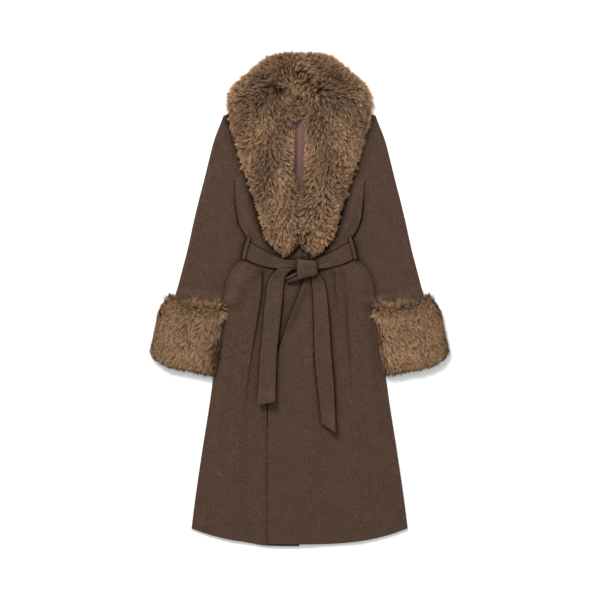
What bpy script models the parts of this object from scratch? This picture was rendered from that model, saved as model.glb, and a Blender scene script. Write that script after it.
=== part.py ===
# Long wrap coat in brown wool, with a fur shawl collar, fur cuffs and a tied belt.
# It lies flat on its back: the front is up (+Z), the collar points to +Y, and the
# origin is on the floor under the middle of the coat.
# The sizes and tables here are in millimetres, and the meshes are built in metres.

import math
from collections import namedtuple

import bmesh
import bpy
from mathutils import Vector

MM = 0.001

# Cloth
CLOTH = 2.2            # wall of the wool cloth
SEAM_GAP = 0.3         # what two pieces keep between them at a seam
LAYER_GAP = 0.6        # air between a piece and what lies on it
AIR = 2.0              # between the back and the fronts, as inside the sleeves
EDGE_ROUND = 3.5       # how far the fronts round over at the side seams
EDGE_END = 0.9         # what is left under the rounded edge
BACK_INSET = 3.4       # the back's edge lies this far inside it

# Belt
BELT_CLOTH = 3.0       # the belt is double cloth
BELT_LEVEL = 80.0      # the height of its middle at the centre front
BELT_SAG = 39.0        # how much higher it sits at the sides
BELT_SAG_AT = 133.0    # half the waist, where that height is reached
BELT_CLEAR = 24.5      # rows this far above and below its middle are free of it
BELT_RAMP = 24.0       # the back comes down from the belt under it over this height
BELT_TURN = 0.12       # part of the belt's drop at the side that its round corner takes
LOOP_WIDTH = 7.0
LOOP_CLOTH = 1.6

# Skirt
HEM_LEVEL = -603.0     # the hem at the centre front
HEM_RISE = 39.5        # how much higher the hem is at the side seams
HEM_HALF = 264.6       # half the hem's width
BACK_HEM_UP = 2.0      # the back's hem is this much shorter
UNDER_HEM_DOWN = 4.5   # the under panel shows this much below the upper one

# Shoulders and neck
NECK_HALF = 60.0
NECK_LEVEL = 505.0     # the neck points, at the sides of the neck
NECK_DIP = 8.0         # the back of the neck is this much lower
SHOULDER_DROP = 0.4646 # fall of the shoulder seam for each unit outwards

# Sleeves
SLEEVE_HIGH = 6.4      # both layers of a sleeve and the air between
FOLD_REACH = 7.0       # a sleeve's folds round over within this distance
SLEEVE_PUFF = 1.2      # how much its upper layer stands up in the middle
SLEEVE_CLEAR = 6.9     # what lies over a sleeve's inner edge is lifted by this
UNDERARM_TUCK = 3.2    # the sleeve's fold starts this far under the body
SLEEVE_TIP = 2.2       # more seam gap at the shoulder's tip, where the sleeve folds
LIFT_START = 58.0      # the body comes up over a sleeve from this far inside its edge
LIFT_WIDTH = 40.0      # and is up by this much further out
LIFT_TOP = 300.0       # above this y the body isn't over the sleeve
LIFT_TOP_FADE = 78.0
LIFT_LOW = -38.0       # nor below this
LIFT_LOW_FADE = 38.0

# Fur
FUR_HIGH = 27.0        # the collar's fur above the cloth
FUR_RIM = 6.0          # the same along its edges
CUFF_HIGH = 34.0
CUFF_UNDER = 7.1       # squashed fur between a cuff's floor side and the sleeve
CUFF_LENGTH = 180.0
CUFF_HOLE = 0.45       # room between a cuff and the sleeve in it
CUFF_MOUTH = 1.0       # the hole for the hand starts this far inside the cuff's end
CUFF_DIP = 15.0        # a cuff's upper edge is lower in the middle by this
CUFF_DIP_EVEN = 0.4    # where across the dip it is neither lower nor higher
CUFF_TUFTS = 3.0       # its upper edge goes in and out by this
CUFF_CORNER = 18.0     # the outer corner of its end is rounded off by this
CUFF_CORNER_FROM = 20.0    # from this far out, and over this width
CUFF_CORNER_WIDTH = 62.0
CUFF_TAPER = 0.62      # how high its ends are, as a share of its highest
CUFF_SQUARE = 0.7      # its section is an oval at 1, and squarer below it
CUFF_LUMPS = 0.025
CUFF_STEP = 0.8        # where on the sleeve the cuff begins
COLLAR_LUMPS = 1.2

Side = namedtuple("Side", "y half_width")
Edge = namedtuple("Edge", "y x")
Sleeve = namedtuple("Sleeve", "step outer_x outer_y inner_x inner_y bend")
Collar = namedtuple("Collar", "step inner_x inner_y outer_x outer_y")
Cuff = namedtuple("Cuff", "step inner outer")
Band = namedtuple("Band", "x half_width")
Tail = namedtuple("Tail", "y left right")
Fold = namedtuple("Fold", "y x height")

# The coat's side from the hem up to the shoulder, each side of the centre
BODY_SIDE = [
    Side(-563.5, 264.6), Side(-495, 256), Side(-377, 238.9), Side(-260, 220.5),
    Side(-191, 210.7), Side(-103, 196), Side(-44, 189.9), Side(-5, 185),
    Side(34, 180), Side(68, 166.5), Side(82, 153), Side(95, 138.5),
    Side(106, 130), Side(120, 125), Side(136, 121), Side(152, 131),
    Side(176, 145), Side(203, 152), Side(240, 156), Side(309, 160), Side(362.6, 163),
    Side(411.6, 171.5), Side(446, 187.4),
]

# Front edges: the left front lies over the right one
OVER_EDGE = [
    Edge(-603, -77), Edge(-270, -77), Edge(-190, -69), Edge(-98, -42), Edge(-30, -16.5),
    Edge(20, 2.5), Edge(44, 10), Edge(100, 9), Edge(250, 15), Edge(400, 40), Edge(505, 62),
]
UNDER_EDGE = [
    Edge(-603, -1), Edge(-98, 6), Edge(34, 11), Edge(100, 15),
    Edge(130, 9), Edge(250, -15), Edge(400, -40), Edge(505, -62),
]

# A sleeve's outer and inner fold, from the armhole to inside the cuff, and how far
# the line between them bends away from the body
SLEEVE = [
    Sleeve(0.0, 187.4, 446, 155, 225, 0), Sleeve(0.08, 209.5, 387, 148.5, 203, 34),
    Sleeve(0.16, 221.5, 339, 139.5, 181, 44), Sleeve(0.25, 233, 292, 128, 160, 30),
    Sleeve(0.35, 246.5, 240, 117, 140, 12), Sleeve(0.46, 259, 188, 110, 115, 0),
    Sleeve(0.57, 273, 124, 122, 80, 0), Sleeve(0.68, 288, 66, 160, 35, 0),
    Sleeve(0.8, 302.6, 12, 199, -14, 0), Sleeve(0.9, 332, -66, 223, -90, 0),
    Sleeve(1.0, 352, -138, 243, -156, 0),
]

# The fur collar's edges on the wearer's left, from the centre back to the tip
COLLAR = [
    Collar(0.0, 0.3, 503, 0.3, 607), Collar(0.05, 4, 502, 34, 606),
    Collar(0.1, 6.5, 500, 67, 602), Collar(0.15, 8, 497, 101.7, 583),
    Collar(0.2, 8.5, 493, 124, 563), Collar(0.25, 8.5, 488, 146, 544),
    Collar(0.3, 8, 481, 168, 524), Collar(0.35, 6, 469, 181, 502),
    Collar(0.4, 5, 454, 184, 476), Collar(0.45, 5, 440, 178, 451),
    Collar(0.5, 11, 421, 173, 424), Collar(0.55, 11.5, 392, 161, 392),
    Collar(0.6, 11.5, 360, 153, 358), Collar(0.65, 11.5, 325, 143.8, 324),
    Collar(0.7, 9, 295, 131, 293), Collar(0.75, 1.0, 262, 121, 259),
    Collar(0.8, 0.6, 225, 107.5, 223), Collar(0.85, 0.6, 185, 98, 184),
    Collar(0.9, 0.8, 152, 89, 153), Collar(0.95, 6, 126, 73, 128),
    Collar(1.0, 26, 106, 47, 106),
]
RING_PARTS = [part / 6 for part in range(1, 6)]   # points across a sleeve's layer
CUFF_STEPS = [CUFF_STEP, 0.86, 0.93, 1]            # rows of the sleeve in its cuff
LABEL_SIDE = -5.0      # the slit in the fur leans this far at the label

# A cuff's half widths about its own middle line, from its top to its end
CUFF = [
    Cuff(0.0, -66, 68), Cuff(0.06, -68, 73), Cuff(0.14, -69.6, 81), Cuff(0.3, -71.8, 88),
    Cuff(0.5, -74.5, 88.4), Cuff(0.7, -75.7, 89), Cuff(0.86, -76.1, 89.8),
    Cuff(0.95, -76.2, 87), Cuff(1.0, -76.2, 83),
]
CUFF_TOP = (255.0, -6.0)
CUFF_WAY = (0.18, -0.9837)

# Half the belt's width from the knot out to the side
BAND = [
    Band(0, 11.5), Band(35, 12), Band(48, 13.5), Band(82, 16.8),
    Band(110, 19.6), Band(141, 20),
]
BAND_END = (136.0, 119.0, 0.25)   # x and y of the belt's side end, and its lean

# The belt's hanging ends
TAIL_RIGHT = [
    Tail(-258, -103, -59.3), Tail(-146, -96.8, -56.4), Tail(-83, -90.7, -50.2),
    Tail(-15, -85, -43.6), Tail(29, -79.6, -39), Tail(50, -71.8, -34.8),
    Tail(62, -62.5, -27), Tail(74, -49, -14),
]
TAIL_LEFT = [
    Tail(-318, 54.6, 88.4), Tail(-271, 50.2, 86.5), Tail(-224, 45.3, 84.5),
    Tail(-146, 37.5, 78.2), Tail(-51, 35.3, 71.8), Tail(-21, 34.3, 69.3),
    Tail(35, 31, 62), Tail(60, 24, 48),
]

# Pleats that drop towards the centre below the belt, as raised cloth outside them
PLEAT_RIGHT = [
    Fold(-330, 150, 0), Fold(-240, 132, 1.5), Fold(-130, 116, 4.5),
    Fold(-64, 105, 6.5), Fold(27, 92.6, 8), Fold(71, 92, 8),
]
PLEAT_LEFT = [
    Fold(-50, 97, 0), Fold(-7, 92, 3.5), Fold(27, 89.4, 5), Fold(73, 87, 5),
]
PLEAT_LEFT_OUTER = [
    Fold(-300, 134, 0), Fold(-225, 128.6, 1.5), Fold(-130, 123.7, 4.5),
    Fold(-51, 118.8, 6), Fold(-2, 115.6, 4), Fold(60, 112, 3),
]
CREASE = [
    Fold(-110, 175, 0), Fold(-64, 170, 2), Fold(0, 163, 2.5), Fold(49, 159.5, 1.5),
]
PLEAT_SHARP = 9.0      # width of a pleat's drop
SIDE_FALL = 34.0       # cloth comes down to the side seam over this width
PUFF_RISE = 20.0       # and rises from the belt over this height
SWELL = 2.5            # the cloth between the pleats stands up by this under the knot
SWELL_AT = 12.0
SWELL_WIDTH = 45.0
SWELL_FADE = 120.0
BLOUSE = 4.5           # cloth above the belt stands up by this
BLOUSE_FROM = 40.0     # from this far out, and over this width
BLOUSE_RISE = 30.0
BLOUSE_FADE = 110.0

# The left front over the right one
OVER_PAST = 24.0       # it stays up this far past the right front's edge
OVER_DROP = 25.0       # and comes down over this width
OVER_TOP = 140.0       # above this y the two fronts part
OVER_TOP_FADE = 70.0
EDGE_LEAD = 18.0       # what lies on the fronts is up this far before the upper edge
EDGE_SOFT = 14.0

FINISHES = {
    "wool": ((0.090, 0.062, 0.047), 0.95),
    "wool_dark": ((0.078, 0.053, 0.040), 0.95),
    "belt_wool": ((0.096, 0.067, 0.051), 0.93),
    "fur": ((0.270, 0.180, 0.110), 0.9),
    "lining": ((0.190, 0.110, 0.100), 0.6),
    "label": ((0.720, 0.660, 0.560), 0.7),
}


def ease(t):
    """0 below 0, 1 above 1, and a smooth rise between."""
    t = min(max(t, 0.0), 1.0)
    return t * t * (3 - 2 * t)


def mix(a, b, t):
    return a + (b - a) * t


def read(table, key):
    """The other columns at a value of the first, on a smooth curve with no overshoot."""
    if key <= table[0][0]:
        row = table[0][1:]
        return row[0] if len(row) == 1 else row
    if key >= table[-1][0]:
        row = table[-1][1:]
        return row[0] if len(row) == 1 else row
    i = max(n for n in range(len(table) - 1) if table[n][0] <= key)
    values = []
    for column in range(1, len(table[0])):
        slopes = [
            (table[n + 1][column] - table[n][column]) / (table[n + 1][0] - table[n][0])
            for n in range(len(table) - 1)
        ]

        def slope(n):
            if n == 0 or n == len(table) - 1:
                return slopes[0] if n == 0 else slopes[-1]
            before, after = slopes[n - 1], slopes[n]
            return 0 if before * after <= 0 else 2 * before * after / (before + after)

        span = table[i + 1][0] - table[i][0]
        t = (key - table[i][0]) / span
        values.append(
            table[i][column] * (1 + 2 * t) * (1 - t) ** 2
            + table[i + 1][column] * t * t * (3 - 2 * t)
            + slope(i) * span * t * (1 - t) ** 2
            - slope(i + 1) * span * t * t * (1 - t)
        )
    return values[0] if len(values) == 1 else tuple(values)


def steps(count):
    return [n / count for n in range(count + 1)]


# Where the belt, the hem and the shoulders run

def belt_y(x):
    return BELT_LEVEL + BELT_SAG * (min(abs(x), 150) / BELT_SAG_AT) ** 2


def belt_cos(x):
    """Cosine of the belt's slope."""
    slope = 2 * BELT_SAG * min(abs(x), 150) / BELT_SAG_AT ** 2
    return 1 / math.hypot(1, slope)


def shoulder_fall(x):
    neck = NECK_DIP * max(0, 1 - (x / NECK_HALF) ** 2)
    return neck + SHOULDER_DROP * max(abs(x) - NECK_HALF, 0)


def ring(width, height):
    """A flattened tube's section: distances across and up, closed, from the inner fold."""
    rise, reach = height / 2, FOLD_REACH
    inner = [(0, rise), (reach * (1 - math.sqrt(0.5)), rise * (1 + math.sqrt(0.5))), (reach, height)]
    upper = [(mix(reach, width - reach, t), height) for t in RING_PARTS]
    outer = [(width - d, z) for d, z in reversed(inner)]
    half = inner + upper + outer
    lower = [(d, height - z) for d, z in reversed(half[1:-1])]
    return half + lower + half[:1]


def armhole():
    """The armhole as the straight stretches between the points of the sleeve's first ring."""
    top, low = SLEEVE[0].outer_y, SLEEVE[0].inner_y
    width = math.hypot(SLEEVE[0].outer_x - SLEEVE[0].inner_x, top - low)
    parts = sorted({distance / width for distance, _ in ring(width, SLEEVE_HIGH)})
    return [Edge(mix(low, top, part), read(BODY_SIDE, mix(low, top, part))) for part in parts]


def body_side(y):
    """Half the body's width at y."""
    if y <= SLEEVE[0].inner_y:
        return read(BODY_SIDE, y)
    for low, high in zip(ARMHOLE, ARMHOLE[1:]):
        if y <= high.y:
            return mix(low.x, high.x, (y - low.y) / (high.y - low.y))
    return ARMHOLE[-1].x


def row_y(level, x):
    """Height of a row of the body at x: rows follow the hem, the belt or the shoulder."""
    if level < BELT_LEVEL:
        belt = ease((level + 260) / 270)
    else:
        belt = 1 - ease((level - 110) / 190)
    hem = ease((-level - 250) / (-HEM_LEVEL - 250))
    shoulder = ease((level - 250) / (NECK_LEVEL - 250))
    return (
        level
        + belt * (belt_y(x) - BELT_LEVEL)
        + hem * HEM_RISE * (abs(x) / HEM_HALF) ** 2.8
        - shoulder * shoulder_fall(x)
    )


def row_through(y):
    """The level of the row that meets the armhole at y."""
    low, high = y - 50, NECK_LEVEL
    for _ in range(40):
        middle = (low + high) / 2
        if row_y(middle, body_side(y)) < y:
            low = middle
        else:
            high = middle
    return low


# Heights of the layers, from the floor up

def sleeve_inner(y):
    """Distance of a sleeve's inner fold, or of the armhole above it."""
    folds = [Edge(row.inner_y, row.inner_x) for row in reversed(SLEEVE)]
    return read(folds, y) if y < SLEEVE[0].inner_y else body_side(y)


def cuff_place(x, y):
    """How far a point lies along and across the cuff's middle line."""
    dx, dy = x - CUFF_TOP[0], y - CUFF_TOP[1]
    return dx * CUFF_WAY[0] + dy * CUFF_WAY[1], -dx * CUFF_WAY[1] + dy * CUFF_WAY[0]


def cuff_corner(across):
    """How much shorter the cuff is towards its outer corner."""
    return CUFF_CORNER * (max(0, across - CUFF_CORNER_FROM) / CUFF_CORNER_WIDTH) ** 2


def sleeve_rise(x, y):
    """The sleeve comes up off the floor where it enters the cuff."""
    return CUFF_UNDER * ease((cuff_place(abs(x), y)[0] + 30) / 26)


def over_sleeve(x, y):
    """Lift of the body where it lies on the sleeves' inner edges."""
    if y > LIFT_TOP or y < LIFT_LOW:
        return 0.0
    side = ease((abs(x) - sleeve_inner(y) + LIFT_START) / LIFT_WIDTH)
    ends = ease((LIFT_TOP - y) / LIFT_TOP_FADE) * ease((y - LIFT_LOW) / LIFT_LOW_FADE)
    return (SLEEVE_CLEAR + sleeve_rise(x, y)) * side * ends


def over_belt(x, y):
    """Lift of the back over the part of the belt that passes under it."""
    away = abs(y - belt_y(x)) - BELT_CLEAR
    return (BELT_CLOTH + 2 * LAYER_GAP) * (1 - ease(away / BELT_RAMP))


def back_under(x, y):
    return over_sleeve(x, y) + over_belt(x, y)


def pleat(table, x, y, sharp=PLEAT_SHARP):
    place, height = read(table, y)
    return height * ease((x - place) / sharp + 0.5)


def folds(x, y):
    """Height of the fronts above lying flat: pleats below the belt, a blouse above."""
    below = belt_y(x) - BELT_CLEAR - y
    inside = ease((body_side(y) - 4 - abs(x)) / SIDE_FALL)
    if below > 0:
        if x < 0:
            raised = pleat(PLEAT_RIGHT, -x, y)
        else:
            raised = pleat(PLEAT_LEFT, x, y) + pleat(PLEAT_LEFT_OUTER, x, y)
        raised += pleat(CREASE, abs(x), y, 2 * PLEAT_SHARP)
        swell = SWELL * math.exp(-((x - SWELL_AT) / SWELL_WIDTH) ** 2 - below / SWELL_FADE)
        return (raised + swell) * inside * ease(below / PUFF_RISE)
    above = y - belt_y(x) - BELT_CLEAR
    if above > 0:
        wide = ease(abs(x) / BLOUSE_FROM - 1)
        fade = 1 - ease((above - BLOUSE_RISE) / BLOUSE_FADE)
        return BLOUSE * wide * inside * ease(above / BLOUSE_RISE) * fade
    return 0.0


def front_top(x, y):
    """Upper side of a front that lies on the back with nothing between."""
    return back_under(x, y) + 2 * CLOTH + AIR + folds(x, y)


def over_lift(x, y):
    """The left front lies higher where the right one is under it."""
    past = ease((x - read(UNDER_EDGE, y) - OVER_PAST) / OVER_DROP)
    return (CLOTH + LAYER_GAP) * (1 - past) * (1 - ease((y - OVER_TOP) / OVER_TOP_FADE))


def top_of_fronts(x, y):
    """What the belt and the collar lie on, smooth across the left front's edge."""
    near = ease((x - read(OVER_EDGE, y) + EDGE_LEAD) / EDGE_SOFT)
    return front_top(x, y) + over_lift(x, y) * near


# Meshes

def finish(name):
    material = bpy.data.materials.get(name)
    if material is None:
        colour, roughness = FINISHES[name]
        material = bpy.data.materials.new(name)
        material.use_nodes = True
        shader = material.node_tree.nodes["Principled BSDF"]
        shader.inputs["Base Color"].default_value = (*colour, 1)
        shader.inputs["Roughness"].default_value = roughness
        shader.inputs["Metallic"].default_value = 0
    return material


def add_piece(name, bm, material):
    mesh = bpy.data.meshes.new(name)
    bm.to_mesh(mesh)
    bm.free()
    mesh.shade_smooth()
    mesh.set_sharp_from_angle(angle=math.radians(50))
    mesh.materials.append(finish(material))
    piece = bpy.data.objects.new(name, mesh)
    coat.objects.link(piece)
    return piece


def grid(across, along):
    """A flat grid, and for each of its points the values of its column and row."""
    bm = bmesh.new()
    columns, rows = len(across) - 1, len(along) - 1
    bmesh.ops.create_grid(bm, x_segments=columns, y_segments=rows, size=0.5)
    bm.verts.ensure_lookup_table()
    spots = {
        vert: (across[round((vert.co.x + 0.5) * columns)], along[round((vert.co.y + 0.5) * rows)])
        for vert in bm.verts
    }
    return bm, spots


def solidify(piece, wall, inward):
    wall_modifier = piece.modifiers.new("wall", "SOLIDIFY")
    wall_modifier.thickness = wall * MM
    wall_modifier.offset = -1 if inward else 1
    wall_modifier.use_quality_normals = True


def face_up(bm):
    bm.normal_update()
    if sum(face.normal.z * face.calc_area() for face in bm.faces) < 0:
        bmesh.ops.reverse_faces(bm, faces=bm.faces)


def sheet(name, material, across, along, place, wall, from_top):
    """Cloth whose upper side (from_top) or lower side is given by place."""
    bm, spots = grid(across, along)
    for vert, (u, v) in spots.items():
        vert.co = Vector(place(u, v)) * MM
    face_up(bm)
    solidify(add_piece(name, bm, material), wall, from_top)


def slab(name, material, across, along, place):
    """A closed pad: place gives x, y, the bottom and the top of each grid point."""
    bm, spots = grid(across, along)
    lower = list(bm.verts)
    made = bmesh.ops.extrude_face_region(bm, geom=bm.faces[:], use_keep_orig=True)
    upper = [item for item in made["geom"] if isinstance(item, bmesh.types.BMVert)]
    order = {tuple(vert.co): spots[vert] for vert in lower}
    for vert in upper:
        x, y, _, top = place(*order[tuple(vert.co)])
        vert.co = Vector((x, y, top)) * MM
    for vert in lower:
        x, y, bottom, _ = place(*spots[vert])
        vert.co = Vector((x, y, bottom)) * MM
    bmesh.ops.recalc_face_normals(bm, faces=bm.faces)
    add_piece(name, bm, material)


def tube(name, material, around, along, place, wall=None):
    """A ring of points carried along: with a wall it is open-ended cloth."""
    bm, spots = grid(around, along)
    for vert, (u, v) in spots.items():
        vert.co = Vector(place(u, v)) * MM
    bmesh.ops.remove_doubles(bm, verts=bm.verts, dist=0.00002)
    bmesh.ops.recalc_face_normals(bm, faces=bm.faces)
    middle = sum((vert.co for vert in bm.verts), Vector()) / len(bm.verts)
    outward = sum((face.calc_center_median() - middle).dot(face.normal) for face in bm.faces)
    if wall and outward < 0:
        bmesh.ops.reverse_faces(bm, faces=bm.faces)
    piece = add_piece(name, bm, material)
    if wall:
        solidify(piece, wall, True)


# Body panels

ARMHOLE = armhole()
ROWS = [
    -603, -535, -460, -385, -315, -255, -200, -155, -115, -80, -50, -24,
    0, 20, 36, 47, 55.5, 80, 104.5, 114, 128, 148, 172, 198,
]
ROWS += [row_through(edge.y) for edge in ARMHOLE[2:-3]]
ROUND_ROWS = [501.1, 503.9, 505]
FRONT_COLUMNS = [
    0, 0.1, 0.2, 0.3, 0.38, 0.45, 0.50, 0.54, 0.58, 0.62, 0.66, 0.71, 0.77,
    0.84, 0.92, 1,
]
ROUND_STEPS = [1.5, 2]           # columns of the rounded side, after the last flat one


def side_lean(y):
    """How much longer a sideways inset is where the body's side slants."""
    return math.hypot(1, (body_side(y + 3) - body_side(y - 3)) / 6)


def side_round(y):
    """1 where the fronts wrap down round the back's edge, 0 beside the armhole."""
    return 1 - ease((y - 235) / 65)


def round_over(part, depth):
    """Inset and drop, from 0 at the start of a rounded edge to 1 at its end."""
    if part <= 0.5:
        return EDGE_ROUND * (1 - 1.5 * part), depth * 0.34 * part
    return EDGE_ROUND * (0.5 - 0.5 * part), depth * mix(0.17, 1, 2 * part - 1)


def make_front(name, edge, sign, top, hem_down):
    """A front from its edge at the centre to the side seam on side sign."""

    def place(u, level):
        flat = min(u, 1)
        y = level
        for _ in range(5):
            side = body_side(y) - EDGE_ROUND * side_lean(y)
            x = mix(read(edge, y), sign * side, flat)
            y = row_y(min(level, ROUND_ROWS[0]), x)
        y -= hem_down * ease((-level - 540) / 60) * ease((140 - abs(x)) / 60)
        z = top(x, y)
        depth = 2 * CLOTH + AIR - EDGE_END
        if u > 1:
            inset, drop = round_over(u - 1, depth * side_round(y))
            x = sign * (side + (EDGE_ROUND - inset) * side_lean(y))
            z -= drop
        if level > ROUND_ROWS[0]:
            part = 0.5 if level < ROUND_ROWS[2] else 1
            inset, drop = round_over(part, depth)
            y += EDGE_ROUND - inset
            z = min(z, top(x, y) - drop)
        return x, y, z

    columns = FRONT_COLUMNS + ROUND_STEPS
    sheet(name, "wool", columns, ROWS + ROUND_ROWS, place, CLOTH, True)


def make_back():
    def place(u, level):
        y = level
        for _ in range(5):
            side = body_side(y) - BACK_INSET * side_round(y) * side_lean(y)
            x = u * side
            y = row_y(level, x)
        y += BACK_HEM_UP * ease((-level - 540) / 60)
        return x, y, back_under(x, y)

    columns = [-1, -0.94, -0.88, -0.81, -0.73, -0.64, -0.54, -0.42, -0.22, 0]
    columns += [-u for u in reversed(columns[:-1])]
    sheet("back", "wool_dark", columns, ROWS + [NECK_LEVEL - BACK_INSET], place, CLOTH, False)


def make_lining():
    """The strip of the lining that shows between the collar's halves."""

    def place(u, v):
        y = mix(255, 492, v)
        return u * mix(24, 52, v), y, back_under(0, y) + CLOTH + SEAM_GAP

    sheet("back_lining", "lining", [-1, -0.4, 0.4, 1], steps(5), place, 1.0, False)

    def label_place(u, v):
        return mix(-10, 5, u), mix(473, 484, v), CLOTH + 2 * SEAM_GAP + 1.0

    sheet("neck_label", "label", steps(1), steps(1), label_place, 0.8, False)


# Sleeves and cuffs

def sleeve_point(step, index, sign, room=0.0):
    """A point of the sleeve's outside, or of a ring that is room larger all round."""
    outer_x, outer_y, inner_x, inner_y, bend = read(SLEEVE, step)
    outer, inner = Vector((outer_x, outer_y)), Vector((inner_x, inner_y))
    width = (outer - inner).length
    distance, z = ring(width + 2 * room, SLEEVE_HIGH + 2 * room)[index]
    part, z = (distance - room) / width, z - room
    away = Vector((outer.y - inner.y, inner.x - outer.x)) / width
    spot = inner + (outer - inner) * part
    spot += away * (bend * math.sin(math.pi * part) * (1 - part))
    y = mix(SLEEVE[0].inner_y, SLEEVE[0].outer_y, part)
    bow = body_side(y) + SEAM_GAP - mix(SLEEVE[0].inner_x, SLEEVE[0].outer_x, part)
    ends = SLEEVE_TIP * part ** 8 - UNDERARM_TUCK * max(0, 1 - part / 0.03)
    spot.x += bow * (1 - ease(step / 0.16)) + ends * (1 - ease(step / 0.05))
    if z > SLEEVE_HIGH / 2:
        z += SLEEVE_PUFF * math.sin(math.pi * part) ** 2 * ease(step / 0.2)
    return sign * spot.x, spot.y, z + sleeve_rise(spot.x, spot.y)


def make_sleeve(name, sign):
    places = list(range(len(ring(100, SLEEVE_HIGH))))
    rows = [0, 0.05, 0.11, 0.19, 0.28, 0.37, 0.46, 0.55, 0.63, 0.7, 0.76] + CUFF_STEPS
    tube(
        name, "wool", places, rows,
        lambda index, step: sleeve_point(step, index, sign), CLOTH,
    )


def make_cuff(name, sign):
    """Fur round the end of a sleeve, squashed flat on the floor, with the sleeve in it."""
    places = list(range(len(ring(100, SLEEVE_HIGH))))
    around = len(places) - 1
    outside = [("fur", step) for step in (0, 0.06, 0.14, 0.3, 0.5, 0.7, 0.86, 0.95, 1)]
    inside = [("end", 1.0)] + [("hole", step) for step in reversed(CUFF_STEPS)]
    across_way = Vector((-CUFF_WAY[1], CUFF_WAY[0]))

    def outer_point(angle, step):
        inner, outer = read(CUFF, step)
        taper = mix(CUFF_TAPER, 1, math.sin(math.pi * mix(0.08, 0.92, step)) ** 0.5)
        lumps = 1 + CUFF_LUMPS * math.sin(5 * angle + 9 * step)
        middle, half = (inner + outer) / 2, (outer - inner) / 2
        side, up = math.cos(angle), math.sin(angle)
        across = middle - half * math.copysign(abs(side) ** CUFF_SQUARE, side)
        rounded = math.copysign(abs(up) ** CUFF_SQUARE, up)
        top, low = CUFF_HIGH * taper * lumps, CUFF_UNDER + SLEEVE_HIGH / 2
        z = low + (top - low) * rounded if up > 0 else low * (1 + rounded)
        dip = CUFF_DIP * (CUFF_DIP_EVEN - side * side) - CUFF_TUFTS * math.sin(7 * angle)
        along = CUFF_LENGTH * step + dip * (1 - step) - cuff_corner(across) * step * step
        spot = Vector(CUFF_TOP) + Vector(CUFF_WAY) * along + across_way * across
        return sign * spot.x, spot.y, max(z, 0)

    def place(index, row):
        part, step = row
        if part == "fur":
            return outer_point(2 * math.pi * (index % around) / around, step)
        x, y, z = sleeve_point(step, index, sign, CUFF_HOLE)
        if part == "end":
            along, across = cuff_place(abs(x), y)
            further = CUFF_LENGTH - cuff_corner(across) - CUFF_MOUTH - along
            x += sign * CUFF_WAY[0] * further
            y += CUFF_WAY[1] * further
        return x, y, z

    tube(name, "fur", places, outside + inside + outside[:1], place)


# Collar

def collar_bottom(x, y):
    """Flat on the floor past the shoulders, and over the fronts below them."""
    past = y - (NECK_LEVEL - shoulder_fall(x))
    on_coat = 2 * CLOTH + AIR + LAYER_GAP
    if past > 0:
        return on_coat * (1 - ease((past - 12) / 24))
    return top_of_fronts(x, y) + LAYER_GAP + 1.4 * ease((270 - y) / 60)


def make_collar(name, sign):
    """One half of the shawl collar, from the centre back down to its tip."""

    def place(u, v):
        inner_x, inner_y, outer_x, outer_y = read(COLLAR, v)
        inner_x += sign * LABEL_SIDE * ease((inner_y - 462) / 12) * ease((499 - inner_y) / 6)
        x = sign * mix(inner_x, outer_x, u)
        y = mix(inner_y, outer_y, u)
        bottom = collar_bottom(x, y)
        dome = max(1 - abs(2 * u - 1) ** 3, 0) ** 0.6
        tip = min(1, ((1.02 - v) / 0.14) ** 0.6)
        lumps = COLLAR_LUMPS * math.sin(x / 13) * math.sin(y / 17)
        high = FUR_RIM + (FUR_HIGH - FUR_RIM + lumps) * dome * tip
        return x, y, bottom, bottom + high

    across = [0, 0.06, 0.15, 0.27, 0.4, 0.52, 0.64, 0.75, 0.85, 0.94, 1]
    slab(name, "fur", across, steps(24), place)


# Belt

def band_end(y):
    """Where the belt turns down at the side, over the coat's edge."""
    x, at, lean = BAND_END
    return x - lean * (y - at)


def make_band(name, sign, start):
    """The belt on the front, from the knot to the side, where it goes round the edge."""
    flat = steps(10)
    turn = [1.5, 2]                  # columns of the turn down, after the last flat one

    def place(u, v):
        part = min(u, 1)
        x = start
        for _ in range(4):
            half = read(BAND, abs(x)) / belt_cos(x)
            y = belt_y(x) + v * half
            end = sign * (band_end(y) - BELT_CLOTH - 0.5)
            x = mix(start, end, part)
        z = top_of_fronts(x, y) + LAYER_GAP
        if u > 1:
            depth = z - over_sleeve(x, y) - SEAM_GAP
            z -= depth * (BELT_TURN if u < 2 else 1)
            x += sign * (0.4 if u < 2 else 0.5)
        return x, y, z

    sheet(name, "belt_wool", flat + turn, [-1, -0.4, 0.4, 1], place, BELT_CLOTH, False)


def make_belt_back():
    def place(u, v):
        x = 0
        for _ in range(4):
            y = belt_y(x) + v * 20 / belt_cos(x)
            x = u * (band_end(y) - BELT_CLOTH - 1.4)
        return x, y, over_sleeve(x, y)

    columns = [-1, -0.93, -0.86, -0.79, -0.7, -0.6, -0.5, -0.4, -0.2, 0]
    columns += [-u for u in reversed(columns[:-1])]
    sheet("belt_back", "belt_wool", columns, [-1, 0, 1], place, BELT_CLOTH, False)


def make_loop(name, sign):
    """A strip sewn to the side seam above and below the belt."""

    def place(u, v):
        y = mix(93, 151, v)
        x = band_end(y) - 5.5 + LOOP_WIDTH * (u - 0.5)
        away = abs(y - belt_y(x))
        over = (BELT_CLOTH + LAYER_GAP) * (1 - ease((away - BELT_CLEAR) / 6))
        return sign * x, y, top_of_fronts(sign * x, y) + over + LAYER_GAP + SEAM_GAP

    sheet(name, "wool", steps(1), steps(14), place, LOOP_CLOTH, False)


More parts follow.
